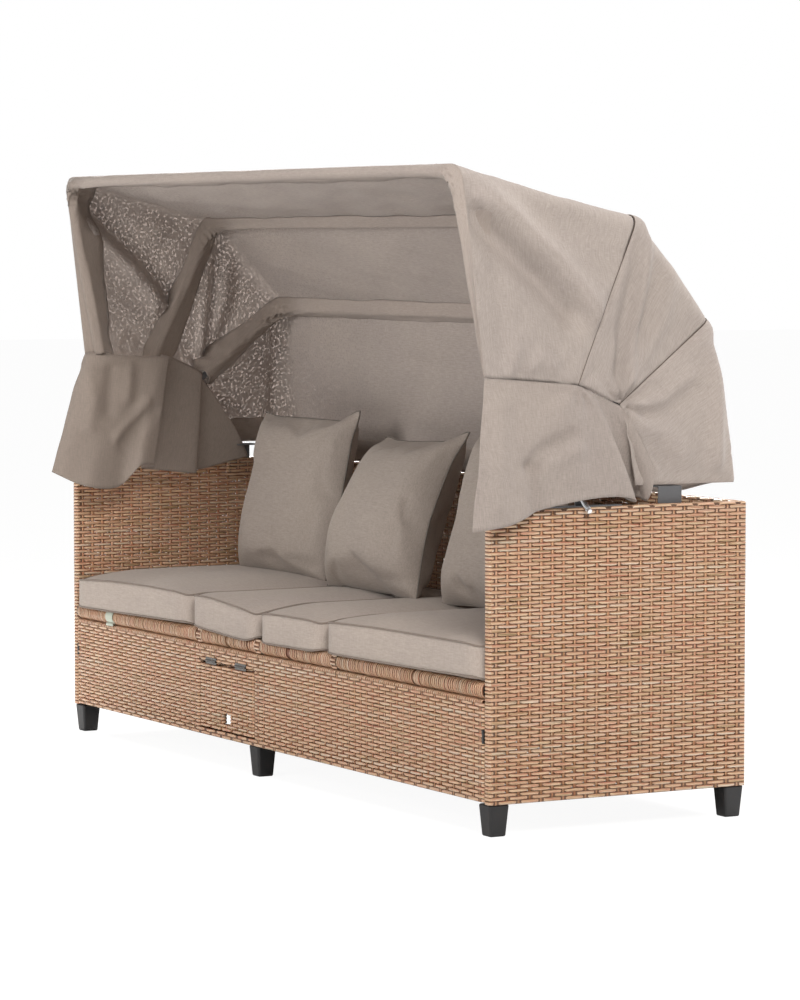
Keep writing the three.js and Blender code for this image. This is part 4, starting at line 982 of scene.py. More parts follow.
def cushion(index, x0, x1):
    """A boxed cushion: rounded corners in plan, sides that draw in, a crown, and a front that hangs over
    the rail by the heights in the two tables above."""
    y0, y1 = -0.0145, 0.612
    size = np.array([x1 - x0 - 0.006, y1 - y0, CUSHION_HIGH])
    counts = [int(round(side / 0.0135)) for side in size[:2]] + [6]
    points, quads, shares = soft_box(size, counts)
    u, v, s = shares.T
    corner = 0.052
    over = np.maximum(np.abs(points[:, :2]) - (size[:2] / 2 - corner), 0)
    reach = np.hypot(over[:, 0], over[:, 1])
    pull = np.where((over[:, 0] > 0) & (over[:, 1] > 0), 1 - over.max(1) / np.maximum(reach, 1e-9), 0)
    points[:, :2] -= np.sign(points[:, :2]) * pull[:, None] * over
    points[:, 0] -= np.sign(u) * 0.004 * (1 - v ** 2) * u ** 4
    points[:, 1] -= np.sign(v) * 0.004 * (1 - u ** 2) * v ** 4
    points[:, 2] += 0.006 * (1 - u ** 4) * (1 - v ** 4) * (s + 1) / 2
    rim = (np.maximum(np.abs(u), np.abs(v)) > AT_RIM) & (np.abs(s) > AT_RIM)
    held = np.where(rim, 0.93, 0.0)
    held = np.maximum(held, np.where((s < -AT_RIM) & ~rim, 0.35, 0.0))
    points = blow_up(points, quads, held, 4.0, 0.016)
    points[:, 2] = np.maximum(points[:, 2], -size[2] / 2)
    points += np.array([(x0 + x1) / 2, (y0 + y1) / 2, SEAT + size[2] / 2])
    along = (u + 1) / 2 * 3
    top = np.interp(along, range(4), FRONT_TOP[index]) - (SEAT + size[2])
    low = np.interp(along, range(4), FRONT_LOW[index]) - SEAT
    front = y0 - points[:, 1]
    fade_top = smooth(1 + front / 0.16)
    fade_low = smooth(1 + (front - 0.002) / 0.026)
    raised = np.clip((s + 1) / 2, 0, 1)
    points[:, 2] += raised * top * fade_top + (1 - raised) * low * fade_low
    near_x = smooth(1 - (1 - np.abs(u)) * size[0] / 2 / 0.064)
    near_y = smooth(1 - (1 - np.abs(v)) * size[1] / 2 / 0.064)
    points[:, 2] += (0.004 * (1 - raised) - 0.006 * raised) * near_x * near_y
    return points, quads, shares, rim, size


def sharp_rim(cover, rim):
    """Keeps the piped edges crisp: the edges between neighbouring rim points get a crease of 0.9."""
    mesh = cover.data
    ends = np.zeros(len(mesh.edges) * 2, np.int32)
    mesh.edges.foreach_get("vertices", ends)
    ends = ends.reshape(-1, 2)
    crease = mesh.attributes.new("crease_edge", "FLOAT", "EDGE")
    crease.data.foreach_set("value", np.where(rim[ends[:, 0]] & rim[ends[:, 1]], 0.9, 0).astype(np.float32))


cushions = []
for index, (x0, x1) in enumerate(zip(CUSHION_JOINTS[:-1], CUSHION_JOINTS[1:])):
    points, quads, shares, rim, size = cushion(index, x0, x1)
    cover = make_piece(f"cushion_cover_{index + 1}", points, quads, seat_cloth)
    sharp_rim(cover, rim)
    rounder = cover.modifiers.new("rounder", "SUBSURF")
    rounder.levels = rounder.render_levels = 1
    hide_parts(f"seat_cushion_{index + 1}")
    for level, word in ((1, "top"), (-1, "low")):
        picked = np.nonzero(rim & (shares[:, 2] * level > 0.99))[0]
        line = points[round_the_edge(shares, picked, size)]
        line = (np.roll(line, 1, 0) + 2 * line + np.roll(line, -1, 0)) / 4
        line[:, 2] += 0.0004 * level
        ring, faces = tube_round(line, 0.0023)
        make_piece(f"cushion_piping_{word}_{index + 1}", ring, faces, piping_cloth_painted_shade)
    cushions.append(cover)
print(len(cushions), "cushions")

# %% [markdown]
# ## Back pillows
# Three knife-edged pillows: two squares of cloth sewn together and stuffed. As they fill, the middle of
# each side pulls in and the corners stand out like ears. They stand on the seat and lean on the back.

# %% Three pillows
PILLOW_PLACES = [(-0.672, 0.408, 12, 2, 0.74, 0.0, 0.0), (-0.100, 0.358, 22, 0, 1.0, 0.020, 0.026),
                 (0.472, 0.370, 16, 0, 0.80, 0.0, 0.0)]
PILLOW_SIZE = (0.500, 0.452)


def pillow_blank(seed, filling):
    """Two square sheets joined at their edges; the gap between them is the square root of
    (1 - u squared)(1 - v squared) times half the filling, less towards the top."""
    points, quads, shares = soft_box((PILLOW_SIZE[0], PILLOW_SIZE[1], 0.012), (34, 32, 1))
    u, v, s = shares.T
    full = np.sqrt(np.clip((1 - u ** 2) * (1 - v ** 2), 0, 1))
    points[:, 2] = s * (0.003 + 0.058 * filling * full * (1 - 0.22 * v))
    draw = np.random.default_rng(seed)
    phase = draw.uniform(0, 6.28, 6)
    points[:, 2] += s * 0.004 * full * (np.sin(5 * u + phase[0]) * np.sin(4 * v + phase[1])
                                        + 0.7 * np.sin(9 * u * v + phase[2]))
    points[:, 0] += np.sign(u) * 0.004 * (1 - v ** 2) * u ** 2
    points[:, 1] += np.sign(v) * 0.006 * (1 - u ** 2) * v ** 2
    corner = smooth((np.abs(u) - 0.62) / 0.38) * smooth((np.abs(v) - 0.62) / 0.38)
    ear = np.where(v > 0, np.where(u > 0, 0.015, 0.006), 0.0)
    points[:, 0] += np.sign(u) * (ear - 0.002) * corner
    points[:, 1] += np.sign(v) * (ear * 1.2 - 0.002) * corner
    return points, quads, shares


# Each row is a start (u, v), an end (u, v), a width as a share of the half side, and a depth in metres.
DENTS = ((0.80, 0.55, 0.72, -0.50, 0.07, 0.007), (0.46, -0.80, 0.93, -0.76, 0.05, 0.010),
         (0.62, 0.72, 0.95, 0.93, 0.06, 0.006), (-0.78, 0.30, -0.80, -0.45, 0.08, 0.005),
         (-0.55, 0.80, -0.92, 0.94, 0.06, 0.005), (0.10, -0.84, -0.45, -0.80, 0.06, 0.005),
         (0.66, 0.10, 0.95, 0.02, 0.04, 0.004), (0.62, -0.28, 0.94, -0.34, 0.04, 0.005))


def dented(points, shares, seed):
    """Valleys in the cover, each from one place to another: depth * exp(-(distance / width) squared)."""
    draw = np.random.default_rng(seed)
    s = shares[:, 2]
    for u0, v0, u1, v1, width, depth in DENTS:
        start = np.array([u0, v0]) + draw.uniform(-0.04, 0.04, 2)
        way = np.array([u1, v1]) + draw.uniform(-0.04, 0.04, 2) - start
        gap = shares[:, :2] - start
        t = np.clip(gap @ way / (way @ way), 0, 1)
        away = np.linalg.norm(gap - t[:, None] * way, axis=1)
        points[:, 2] -= s * depth * np.exp(-(away / width) ** 2)
    return points


def stood(points, x, y, tilt, turn, slump, twist):
    """Stands the pillow on its lower edge, leans it back by the tilt, turns it, and moves it. Its middle
    slumps forward by slump * sin(half a turn * the share of its height), and its top twists: the right end
    comes forward by the twist and the left end goes back by it."""
    tilt, turn = math.radians(90 - tilt), math.radians(turn)
    points = points + np.array([0.0, PILLOW_SIZE[1] / 2, 0.0])
    height = np.clip(points[:, 1] / PILLOW_SIZE[1], 0, 1)
    points[:, 2] += slump * np.sin(np.pi * height) + twist * height * points[:, 0] * 2 / PILLOW_SIZE[0]
    y1, z1 = (points[:, 1] * math.cos(tilt) - points[:, 2] * math.sin(tilt),
              points[:, 1] * math.sin(tilt) + points[:, 2] * math.cos(tilt))
    x2 = points[:, 0] * math.cos(turn) - y1 * math.sin(turn)
    y2 = points[:, 0] * math.sin(turn) + y1 * math.cos(turn)
    return np.stack([x2 + x, y2 + y, z1], -1)


for index, (x, y, tilt, turn, filling, slump, twist) in enumerate(PILLOW_PLACES):
    points, quads, shares = pillow_blank(index + 3, filling)
    points = blow_up(points, quads, np.zeros(len(points)), 3.0 * filling, 0.034 * filling, bending=0.8)
    points = dented(points, shares, index + 11)
    placed = stood(points, x, y, tilt, turn, slump, twist)
    placed[:, 2] += SEAT + CUSHION_HIGH + 0.008 - np.sort(placed[:, 2])[8]
    floor_level = SEAT + CUSHION_HIGH + 0.0075
    placed[:, 2] = np.maximum(placed[:, 2], floor_level)
    placed[:, 1] = np.minimum(placed[:, 1], 0.6535)
    cover = make_piece(f"pillow_cover_{index + 1}", placed, quads, pillow_cloth)
    rounder = cover.modifiers.new("rounder", "SUBSURF")
    rounder.levels = rounder.render_levels = 1
    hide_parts(f"back_pillow_{index + 1}")
    rim = np.maximum(np.abs(shares[:, 0]), np.abs(shares[:, 1])) > AT_RIM
    picked = np.nonzero(rim & (shares[:, 2] > 0))[0]
    order = round_the_edge(shares, picked, PILLOW_SIZE)
    partner = np.nonzero(rim & (shares[:, 2] < 0))[0]
    other = round_the_edge(shares, partner, PILLOW_SIZE)
    seam = (placed[order] + placed[other]) / 2
    ring, faces = tube_round(seam, 0.0022, 6)
    make_piece(f"pillow_edge_{index + 1}", ring, faces, pillow_seam_painted_shade)
    print(cover.name, np.round(placed.min(0) + HOME, 3), np.round(placed.max(0) + HOME, 3))

# %% [markdown]
# ## Sheets of cloth
# A sheet is worked out as a grid of places for its outer face. The inner face lies one thickness behind
# it along the surface's own normals, and a rim joins the two, so each sheet is one closed body. Its map
# is measured in metres along and across the cloth, so that the yarns keep one size everywhere.

# %% Sheet helpers
def normals_of(surface):
    """The unit normal at each place of a grid: the cross product of its two directions."""
    normal = np.cross(np.gradient(surface, axis=0), np.gradient(surface, axis=1))
    return normal / np.maximum(np.linalg.norm(normal, axis=2, keepdims=True), 1e-12)


def area_of(surface):
    """The area of a grid of places, as the sum of half the cross products of its squares' diagonals."""
    one = surface[1:, 1:] - surface[:-1, :-1]
    two = surface[1:, :-1] - surface[:-1, 1:]
    return float(np.linalg.norm(np.cross(one, two), axis=2).sum() / 2)


def cloth_map(surface):
    """Lengths in metres along and across the cloth, from the middle of each line outwards."""
    step = np.linalg.norm(np.diff(surface, axis=1), axis=2)
    along = np.concatenate([np.zeros((surface.shape[0], 1)), np.cumsum(step, 1)], 1)
    along -= along[:, along.shape[1] // 2][:, None]
    step = np.linalg.norm(np.diff(surface, axis=0), axis=2)
    down = np.concatenate([np.zeros((1, surface.shape[1])), np.cumsum(step, 0)], 0)
    return np.stack([along, down], -1)


def thick_sheet(name, surface, out, thickness, finish, body=None, down=False):
    """A closed sheet from a grid of places of its outer face; out is roughly the outward direction there.
    The slubs run along the rows, or down the cloth if asked."""
    normal = normals_of(surface)
    turned = np.sum(normal * out) < 0
    normal = -normal if turned else normal
    rows, columns = surface.shape[:2]
    count = rows * columns
    face = grid_quads(rows, columns)
    index = np.arange(count).reshape(rows, columns)
    loop = np.concatenate([index[0, :], index[1:, -1], index[-1, -2::-1], index[-2:0:-1, 0]])
    rim = np.stack([loop, np.roll(loop, -1), np.roll(loop, -1) + count, loop + count], -1)
    p = surface.reshape(-1, 3)
    q = face[len(face) // 2]
    facing = np.dot(np.cross(p[q[1]] - p[q[0]], p[q[2]] - p[q[1]]), normal.reshape(-1, 3)[q[0]])
    outer = face if facing > 0 else face[:, ::-1]
    inner = outer[:, ::-1] + count
    pairs = {(int(a), int(b)) for a, b in zip(outer.ravel(), np.roll(outer, -1, 1).ravel())}
    rim = rim[:, ::-1] if (int(rim[0, 0]), int(rim[0, 1])) in pairs else rim
    points = np.concatenate([p, p - normal.reshape(-1, 3) * thickness])
    across = np.concatenate([cloth_map(surface).reshape(-1, 2)] * 2)[:, ::-1 if down else 1]
    quads = np.concatenate([outer, inner, rim])
    return make_piece(name, points, quads, finish, body, across)


def declare_sheet(piece, surface, rests_on):
    """Names the sheet's flat size: its longest lengths both ways, with its real area."""
    along = np.linalg.norm(np.diff(surface, axis=1), axis=2).sum(1).max()
    down = np.linalg.norm(np.diff(surface, axis=0), axis=2).sum(0).max()
    area = min(area_of(surface), along * down)
    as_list(rests_on)
    return f"{piece.name}: flat {along:.3f} x {down:.3f} m, area {area:.3f} m2"


def fold(places, line, up, height, low=0.0, below=0.05, low_width=0.035):
    """A fold along a line of (depth, height) points: height * exp(-(q / up) squared) on the line, and a
    valley of the low depth at the distance below it; q is the signed distance, above or behind the line."""
    line = np.asarray(line, float)
    near = np.full(places.shape[:-1], 1e9)
    signed, share = np.zeros_like(near), np.zeros_like(near)
    lengths = np.linalg.norm(np.diff(line, axis=0), axis=1)
    run = np.concatenate([[0], np.cumsum(lengths)]) / lengths.sum()
    for number in range(len(lengths)):
        a, d = line[number], line[number + 1] - line[number]
        t = np.clip(((places - a) @ d) / (d @ d), 0, 1)
        gap = places - (a + t[..., None] * d)
        size = np.linalg.norm(gap, axis=-1)
        side = np.sign(d[0] * gap[..., 1] - d[1] * gap[..., 0])
        closer = size < near
        near = np.where(closer, size, near)
        signed = np.where(closer, side * size, signed)
        share = np.where(closer, run[number] + t * lengths[number] / lengths.sum(), share)
    ends = smooth(share / 0.14 + 0.15) * smooth((1 - share) / 0.14 + 0.15)
    bump = height * np.exp(-(signed / up) ** 2)
    if low:
        bump = bump - low * np.exp(-((signed + below) / low_width) ** 2)
    return bump * ends


def gathers(places, centre, height, count, phase, reach=0.065):
    """Small pleats that fan out of a stitched point: height * cos(count * angle), fading with distance."""
    gap = places - np.asarray(centre)
    size = np.linalg.norm(gap, axis=-1)
    angle = np.arctan2(gap[..., 1], gap[..., 0])
    return height * np.cos(count * angle + phase) * np.exp(-size / reach) * smooth(size / 0.022)


def ripples(u, v, height, wave, seed, terms=7):
    """Slack in the cloth: a sum of a few long waves with seeded directions, sizes and phases."""
    draw = np.random.default_rng(seed)
    total = np.zeros(np.broadcast(u, v).shape)
    for _ in range(terms):
        turn, phase, size = draw.uniform(0, np.pi), draw.uniform(0, 2 * np.pi), wave * draw.uniform(0.6, 1.6)
        total += np.sin(2 * np.pi * (u * np.cos(turn) + v * np.sin(turn)) / size + phase)
    return total * height / math.sqrt(terms)


# %% [markdown]
# ## The canopy's panels
# Three bows turn about one pivot on each side. Over each bow the cloth is sewn along a line that runs up
# one side, round the corner, across the top and down again; a last line is the hem above the back. A
# panel is the cloth between two of these lines. Tension pulls a long diagonal fold from each front
# corner, the cloth gathers where it is stitched at the low ends, and it dips a little into every seam.

# %% Seam lines and panels
PIVOT = np.array([0.100, 0.745])
BOWS = {"front": (1.022, -0.042, 1.470), "middle": (1.058, 0.398, 1.360), "rear": (1.040, 0.602, 1.131)}
STANDOFF, LEG_SHARE, TURN_SHARE = 0.012, 0.44, 0.14
CLOTH_BENDS = (0.050, 0.046, 0.036, 0.022)
LOW_ENDS = np.array([[1.050, 0.016, 1.012], [1.071, 0.247, 0.993],
                     [1.062, 0.361, 0.948], [1.079, 0.392, 0.773]])
HEM_CORNER = (1.085, 0.664, 0.773)
CLOTH_THICKNESS = 0.0014
FRONT_STITCH, HEM_STITCH = 0.085, 0.066


def bow_corner(out, depth, top):
    """The seam's corner: the bow's corner moved out by the standoff, sideways and away from the pivot."""
    radial = (np.array([depth, top]) - PIVOT) / np.linalg.norm(np.array([depth, top]) - PIVOT)
    return np.array([out + STANDOFF, depth + STANDOFF * radial[0], top + STANDOFF * radial[1]])


CORNERS = [bow_corner(*bow) for bow in BOWS.values()] + [np.array(HEM_CORNER)]
CORNERS[0] += np.array([0.012, 0.004, 0.0])


def line_over(corner, low, share, side, bend):
    """Places on a line over a bow for shares from 0, its low end, to 1, the middle of its top. The turn
    is a curve with the corner as its handle, starting and ending one bend away from it."""
    share, side = np.asarray(share)[:, None], np.asarray(side)[:, None]
    down = (low - corner) / np.linalg.norm(low - corner)
    turn_low, turn_high = corner + down * bend, corner - np.array([bend, 0, 0])
    leg = low + (turn_low - low) * np.clip(share / LEG_SHARE, 0, 1)
    t = np.clip((share - LEG_SHARE) / TURN_SHARE, 0, 1)
    turn = (1 - t) ** 2 * turn_low + 2 * t * (1 - t) * corner + t ** 2 * turn_high
    q = np.clip((share - LEG_SHARE - TURN_SHARE) / (1 - LEG_SHARE - TURN_SHARE), 0, 1)
    top = turn_high * np.concatenate([1 - q, np.ones_like(q), np.ones_like(q)], 1)
    points = np.where(share <= LEG_SHARE, leg, np.where(share <= LEG_SHARE + TURN_SHARE, turn, top))
    return points * np.concatenate([side, np.ones_like(side), np.ones_like(side)], 1)


def shares_and_sides(leg, turn, top):
    """Shares of half a line with so many places on its leg, its turn and its top; the same for the whole
    line, up and down again; and which side each of those is on."""
    half = np.concatenate([np.linspace(0, LEG_SHARE, leg)[:-1],
                           np.linspace(LEG_SHARE, LEG_SHARE + TURN_SHARE, turn)[:-1],
                           np.linspace(LEG_SHARE + TURN_SHARE, 1, top)])
    return (half, np.concatenate([half, half[-2::-1]]),
            np.concatenate([-np.ones(len(half)), np.ones(len(half) - 1)]))


HALF_PANEL, SHARES, SIDES = shares_and_sides(45, 13, 29)
ACROSS = np.concatenate([[0, 0.006, 0.016, 0.032], np.linspace(0.055, 0.945, 30), [0.968, 0.984, 0.994, 1]])

FRONT_RIDGE = [(-0.010, 1.445), (0.013, 1.421), (0.066, 1.378), (0.118, 1.328), (0.185, 1.271),
               (0.258, 1.197), (0.298, 1.141), (0.306, 1.085)]
MIDDLE_RIDGE = [(0.436, 1.352), (0.423, 1.277), (0.407, 1.174), (0.390, 1.060), (0.374, 0.965)]


def gore_folds(index, places, side):
    """The folds of one panel's sides, as heights over places of (depth, height)."""
    if index == 0:
        bump = fold(places, FRONT_RIDGE, 0.030, 0.034, 0.030, 0.052, 0.030)
        bump += fold(places, [(0.010, 1.38), (0.052, 1.23), (0.060, 1.03)], 0.018, -0.006)
        bump += fold(places, [(0.20, 1.03), (0.16, 1.06), (0.12, 1.02)], 0.016, 0.010)
        bump += fold(places, [(0.10, 1.09), (0.085, 1.04), (0.07, 1.01)], 0.014, 0.008)
        bump += gathers(places, LOW_ENDS[1][1:], 0.009, 7, 0.6, 0.06)
    elif index == 1:
        bump = fold(places, MIDDLE_RIDGE, 0.012, 0.018, 0.012, 0.030, 0.018)
        bump += fold(places, [(0.500, 1.28), (0.470, 1.13), (0.382, 0.968)], 0.020, 0.011, 0.008, 0.040, 0.02)
        bump += fold(places, [(0.345, 1.10), (0.350, 1.03), (0.357, 0.965)], 0.010, 0.008)
        bump += gathers(places, LOW_ENDS[1][1:], 0.007, 6, 0.0, 0.05)
        bump += gathers(places, LOW_ENDS[2][1:], 0.010, 9, 1.2, 0.07)
    else:
        bump = fold(places, [(0.600, 1.09), (0.612, 1.00), (0.606, 0.90), (0.600, 0.785)], 0.020, 0.016,
                    0.010, -0.034, 0.02)
        bump += fold(places, [(0.378, 0.945), (0.470, 0.960), (0.560, 1.02)], 0.017, 0.010, 0.007, 0.03, 0.02)
        bump += fold(places, [(0.372, 0.930), (0.470, 0.885), (0.540, 0.80)], 0.020, 0.010, 0.008, 0.04, 0.02)
        bump += fold(places, [(0.368, 0.915), (0.425, 0.84), (0.450, 0.785)], 0.016, 0.008)
        bump += gathers(places, LOW_ENDS[2][1:], 0.012, 8, 0.2, 0.09)
    if side < 0:
        bump = bump * 0.85 + ripples(places[..., 0], places[..., 1], 0.0012, 0.11, 40 + index)
    return bump + ripples(places[..., 0], places[..., 1], 0.0026, 0.16, 20 + index)


def panel_surface(index):
    """The outer face of one panel, and which way is out there: rows from its front seam to its rear one,
    columns along the seams."""
    first = line_over(CORNERS[index], LOW_ENDS[index], SHARES, SIDES, CLOTH_BENDS[index])
    second = line_over(CORNERS[index + 1], LOW_ENDS[index + 1], SHARES, SIDES, CLOTH_BENDS[index + 1])
    if index == 2:
        second[:, 2] -= 0.008 + 0.042 * smooth((SHARES - LEG_SHARE - TURN_SHARE) / 0.12)
    length = np.linalg.norm(second - first, axis=1)
    t = ACROSS[:, None]
    trim = 0.0004 / length[None]
    t = trim + (1 - 2 * trim) * t
    base = first[None] + (second - first)[None] * t[..., None]
    on_leg = 1 - smooth((SHARES - LEG_SHARE * 0.92) / TURN_SHARE)
    on_top = smooth((SHARES - LEG_SHARE) / 0.3)
    normal = normals_of(base)
    out = np.stack([base[..., 0], base[..., 1] - PIVOT[0], base[..., 2] - PIVOT[1]], -1)
    normal = normal * np.sign(np.sum(normal * out, -1, keepdims=True))
    places = base[..., 1:]
    right = gore_folds(index, places, 1)
    left = gore_folds(index, places, -1)
    ease = np.minimum(1, np.minimum(t, 1 - t) / 0.05)
    gore = np.where(SIDES[None] > 0, right, left) * on_leg * ease
    along = np.cumsum(np.concatenate([[0], np.linalg.norm(np.diff(first, axis=0), axis=1)]))[None]
    slack = ripples(along, t * length[None], 0.0034, 0.22, 60 + index) * on_top * ease
    slack += ripples(along * 0.5, t * length[None], 0.0016, 0.07, 70 + index) * on_top * ease
    sag = (0.013 if index < 2 else -0.006) * np.sin(np.pi * t) * on_top
    hollow = (0.003 if index < 2 else -0.010) * np.sin(np.pi * t) * on_leg
    bulge = (0.0 if index == 0 else 0.012) * np.sin(np.pi * t) * np.exp(-((SHARES - LEG_SHARE) / 0.13) ** 2)
    edge = np.minimum(t, 1 - t) * length[None]
    dip = 0.0022 * np.exp(-(edge / 0.005) ** 2)
    if index == 0:
        dip = 0.0022 * np.exp(-((1 - t) * length[None] / 0.005) ** 2)
        stitch = np.abs(t * length[None] - FRONT_STITCH)
        dip += 0.0012 * np.exp(-(stitch / 0.004) ** 2)
    if index == 2:
        stitch = np.abs((1 - t) * length[None] - HEM_STITCH)
        dip += 0.0012 * np.exp(-(stitch / 0.004) ** 2)
    if index > 0:
        over_bow = smooth((SHARES - LEG_SHARE * 0.62) / 0.16)
        swell = np.exp(-((t * length[None] - 0.024) / 0.023) ** 2)
        bulge = bulge + (0.012 if index == 1 else 0.008) * swell * over_bow
    move = gore + slack - sag - hollow - dip + bulge
    return clear_of_bows(base + normal * move[..., None]), out


def clear_of_bows(surface):
    """Keeps the sides outside the tubes: near a bow's leg, x is at least the tube's outside, less a third
    of the distance to the leg."""
    places, side = surface[..., 1:], np.sign(surface[..., 0])
    out = np.abs(surface[..., 0])
    for reach, depth, top in BOWS.values():
        leg = np.array([depth, top]) - PIVOT
        share = np.clip(((places - PIVOT) @ leg) / (leg @ leg), 0, 0.86)
        gap = np.linalg.norm(places - PIVOT - share[..., None] * leg, axis=-1)
        least = reach + 0.0112 - 0.33 * np.maximum(gap - 0.006, 0)
        out = np.where(gap < 0.05, np.maximum(out, least), out)
    return np.concatenate([(side * out)[..., None], places], -1)


def bisector(first, second, reach=0.135):
    """Start and end of the bend between two bows: either side of the pivot, square to their middle."""
    middle = (first + second) / 2
    across = np.array([0.0, math.cos(middle), -math.sin(middle)])
    pivot = np.array([0.0, *PIVOT]) + HOME
    return tuple(pivot + across * reach), tuple(pivot - across * reach)


bow_angle = [math.atan2(depth - PIVOT[0], top - PIVOT[1]) for _, depth, top in BOWS.values()]
hem_angle = math.atan2(HEM_CORNER[1] - PIVOT[0], HEM_CORNER[2] - PIVOT[1])
PANEL_BODIES = [
    ("canopy_front", "middle_bow", "front_bow", bow_angle[1], bow_angle[0], ["front_bow", "middle_bow"]),
    ("canopy_middle", "rear_bow", "middle_bow", bow_angle[2], bow_angle[1], ["middle_bow", "rear_bow"]),
    ("canopy_rear", "frame", "rear_bow", hem_angle, bow_angle[2], ["rear_bow"]),
]
surfaces = []
for index, (node, body_a, body_b, angle_a, angle_b, rests) in enumerate(PANEL_BODIES):
    surface, out = panel_surface(index)
    surfaces.append(surface)
    piece = thick_sheet(f"{node}_cloth", surface, out, CLOTH_THICKNESS, canopy_cloth)
    start, end = bisector(angle_a, angle_b)
    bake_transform(piece)
    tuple(start)
    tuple(end)
    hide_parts(node)
    print(declare_sheet(piece, surface, rests))

# %% [markdown]
# ## Sleeves, hems and stitches
# Under each seam a second strip of cloth makes the sleeve that holds its bow. It ends above the pivot,
# so the lowest parts of the legs are bare. The loose side cloth hides nearly all of them from the camera
# at rest, and they show when the canopy is folded.
# The strips are short of cloth at the corners, where they gather into small folds. The hem of the rear
# panel is double too. Thin dark thread shows where the panels are sewn.

# %% Sleeves round the bows
HALF_SLEEVE, SLEEVE_SHARES, SLEEVE_SIDES = shares_and_sides(61, 21, 41)
SLEEVE_ROWS = 19
SLEEVES = (("front", 0, FRONT_STITCH), ("middle", 0.034, 0.034), ("rear", 0.032, 0.034))


def on_panel(index, distance, from_front):
    """Places on a panel's inner face at a distance from one of its two seams, for the sleeve's shares."""
    surface = surfaces[index] if from_front else surfaces[index][::-1]
    normal = normals_of(surface)
    run = np.concatenate([np.zeros((1, surface.shape[1])),
                          np.cumsum(np.linalg.norm(np.diff(surface, axis=0), axis=2), 0)])
    wanted = np.minimum(distance, run[-1] * 0.45)
    row = np.argmax(run >= wanted[None], axis=0)
    column = np.arange(surface.shape[1])
    before, after = run[row - 1, column], run[row, column]
    part = ((wanted - before) / np.maximum(after - before, 1e-9))[:, None]
    place = surface[row - 1, column] * (1 - part) + surface[row, column] * part
    lean = normal[row, column]
    place = place - lean * np.sign(np.sum(lean * (place - [0.0, *PIVOT]), 1, keepdims=True)) * 0.0030
    at, want = (np.concatenate([half, 2 - half[-2::-1]]) for half in (HALF_PANEL, HALF_SLEEVE))
    return np.stack([np.interp(want, at, place[:, axis]) for axis in range(3)], -1)


def bow_centre(name, low_height):
    """The middle of a bow's tube for the sleeve's shares, from the given height over the top."""
    out, depth, top = BOWS[name]
    corner = np.array([out, depth, top])
    foot = np.array([out, *PIVOT])
    low = foot + (corner - foot) * (low_height - PIVOT[1]) / (top - PIVOT[1])
    return line_over(corner, low, SLEEVE_SHARES, SLEEVE_SIDES, 0.062)


def through(stops, samples):
    """A smooth line through stops (a list of arrays of places) by Catmull and Rom's formula: each span
    blends its two ends and their neighbours' difference halves with the four cubic weights."""
    stops = [2 * stops[0] - stops[1]] + stops + [2 * stops[-1] - stops[-2]]
    rows = []
    spans = len(stops) - 3
    for value in np.linspace(0, spans, samples):
        number = min(int(value), spans - 1)
        t = value - number
        a, b, c, d = stops[number:number + 4]
        rows.append(0.5 * (2 * b + (c - a) * t + (2 * a - 5 * b + 4 * c - d) * t ** 2
                           + (3 * b - a - 3 * c + d) * t ** 3))
    return np.stack(rows)


def sleeve(name, index, width_front, width_back, seed):
    """The strip under one seam: from the panel before the seam, under the bow's tube, to the one after.
    Towards its low ends it gets wider, because there the tube runs further from the seam."""
    wider = 0.030 * (1 - smooth(SHARES / 0.36))
    seam = line_over(CORNERS[index], LOW_ENDS[index], SLEEVE_SHARES, SLEEVE_SIDES, CLOTH_BENDS[index])
    centre = bow_centre(name, LOW_ENDS[index][2] + 0.002)
    round_the_turn = smooth((SLEEVE_SHARES - LEG_SHARE) / TURN_SHARE)[:, None]
    radial = np.array([0.0, *(np.array(BOWS[name][1:]) - PIVOT)])
    sideways = np.stack([SLEEVE_SIDES, 0 * SLEEVE_SIDES, 0 * SLEEVE_SIDES], -1)
    away = sideways * (1 - round_the_turn) + radial / np.linalg.norm(radial) * round_the_turn
    ahead = np.gradient(centre, axis=0)
    ahead /= np.linalg.norm(ahead, axis=1, keepdims=True)
    away -= ahead * np.sum(ahead * away, 1, keepdims=True)
    away /= np.linalg.norm(away, axis=1, keepdims=True)
    forward = np.cross(ahead, away)
    forward *= np.sign(forward[:, 1:2] * -1 + forward[:, 2:] * 0.3)
    forward /= np.linalg.norm(forward, axis=1, keepdims=True)
    back = on_panel(index, width_back + wider * (index > 1), True)
    under = centre - away * 0.0150
    if index == 0:
        end = seam + forward * 0.0008 - away * 0.0006
        brow = centre + forward * 0.0122 + away * 0.0090
        crown = centre + forward * 0.0052 + away * 0.0132
        stops = [back, centre - forward * 0.0155 - away * 0.0075, under,
                 centre + forward * 0.0155 - away * 0.0040, brow,
                 crown * round_the_turn + (brow + end) / 2 * (1 - round_the_turn), end]
    else:
        front = on_panel(index - 1, width_front + wider, False)
        stops = [back, centre - forward * 0.0160 - away * 0.0075, under,
                 centre + forward * 0.0160 - away * 0.0075, front]
    rows = through(stops, SLEEVE_ROWS)
    run = np.cumsum(np.concatenate([[0], np.linalg.norm(np.diff(seam, axis=0), axis=1)]))
    share = np.linspace(0, 1, SLEEVE_ROWS)[:, None]
    body = np.sin(np.pi * share) ** 0.8
    corner = np.exp(-((SLEEVE_SHARES - LEG_SHARE - 0.5 * TURN_SHARE) / 0.10) ** 2)[None]
    leg = (SLEEVE_SHARES < LEG_SHARE)[None]
    pleat = ripples(run[None] * 1.0 + 0.3 * share, share * 0.02, 0.0092, 0.034, seed) * corner
    crease = ripples(run[None] * 0.25, share * (0.09 if index == 0 else 0.06), 0.0040, 0.045, seed + 1)
    depth = (np.abs(pleat) * 1.3 + 0.6 * np.abs(crease) * (0.4 + 0.6 * leg)) * body
    rows = rows - away[None] * depth[..., None]
    return rows, -np.broadcast_to(away[None], rows.shape)


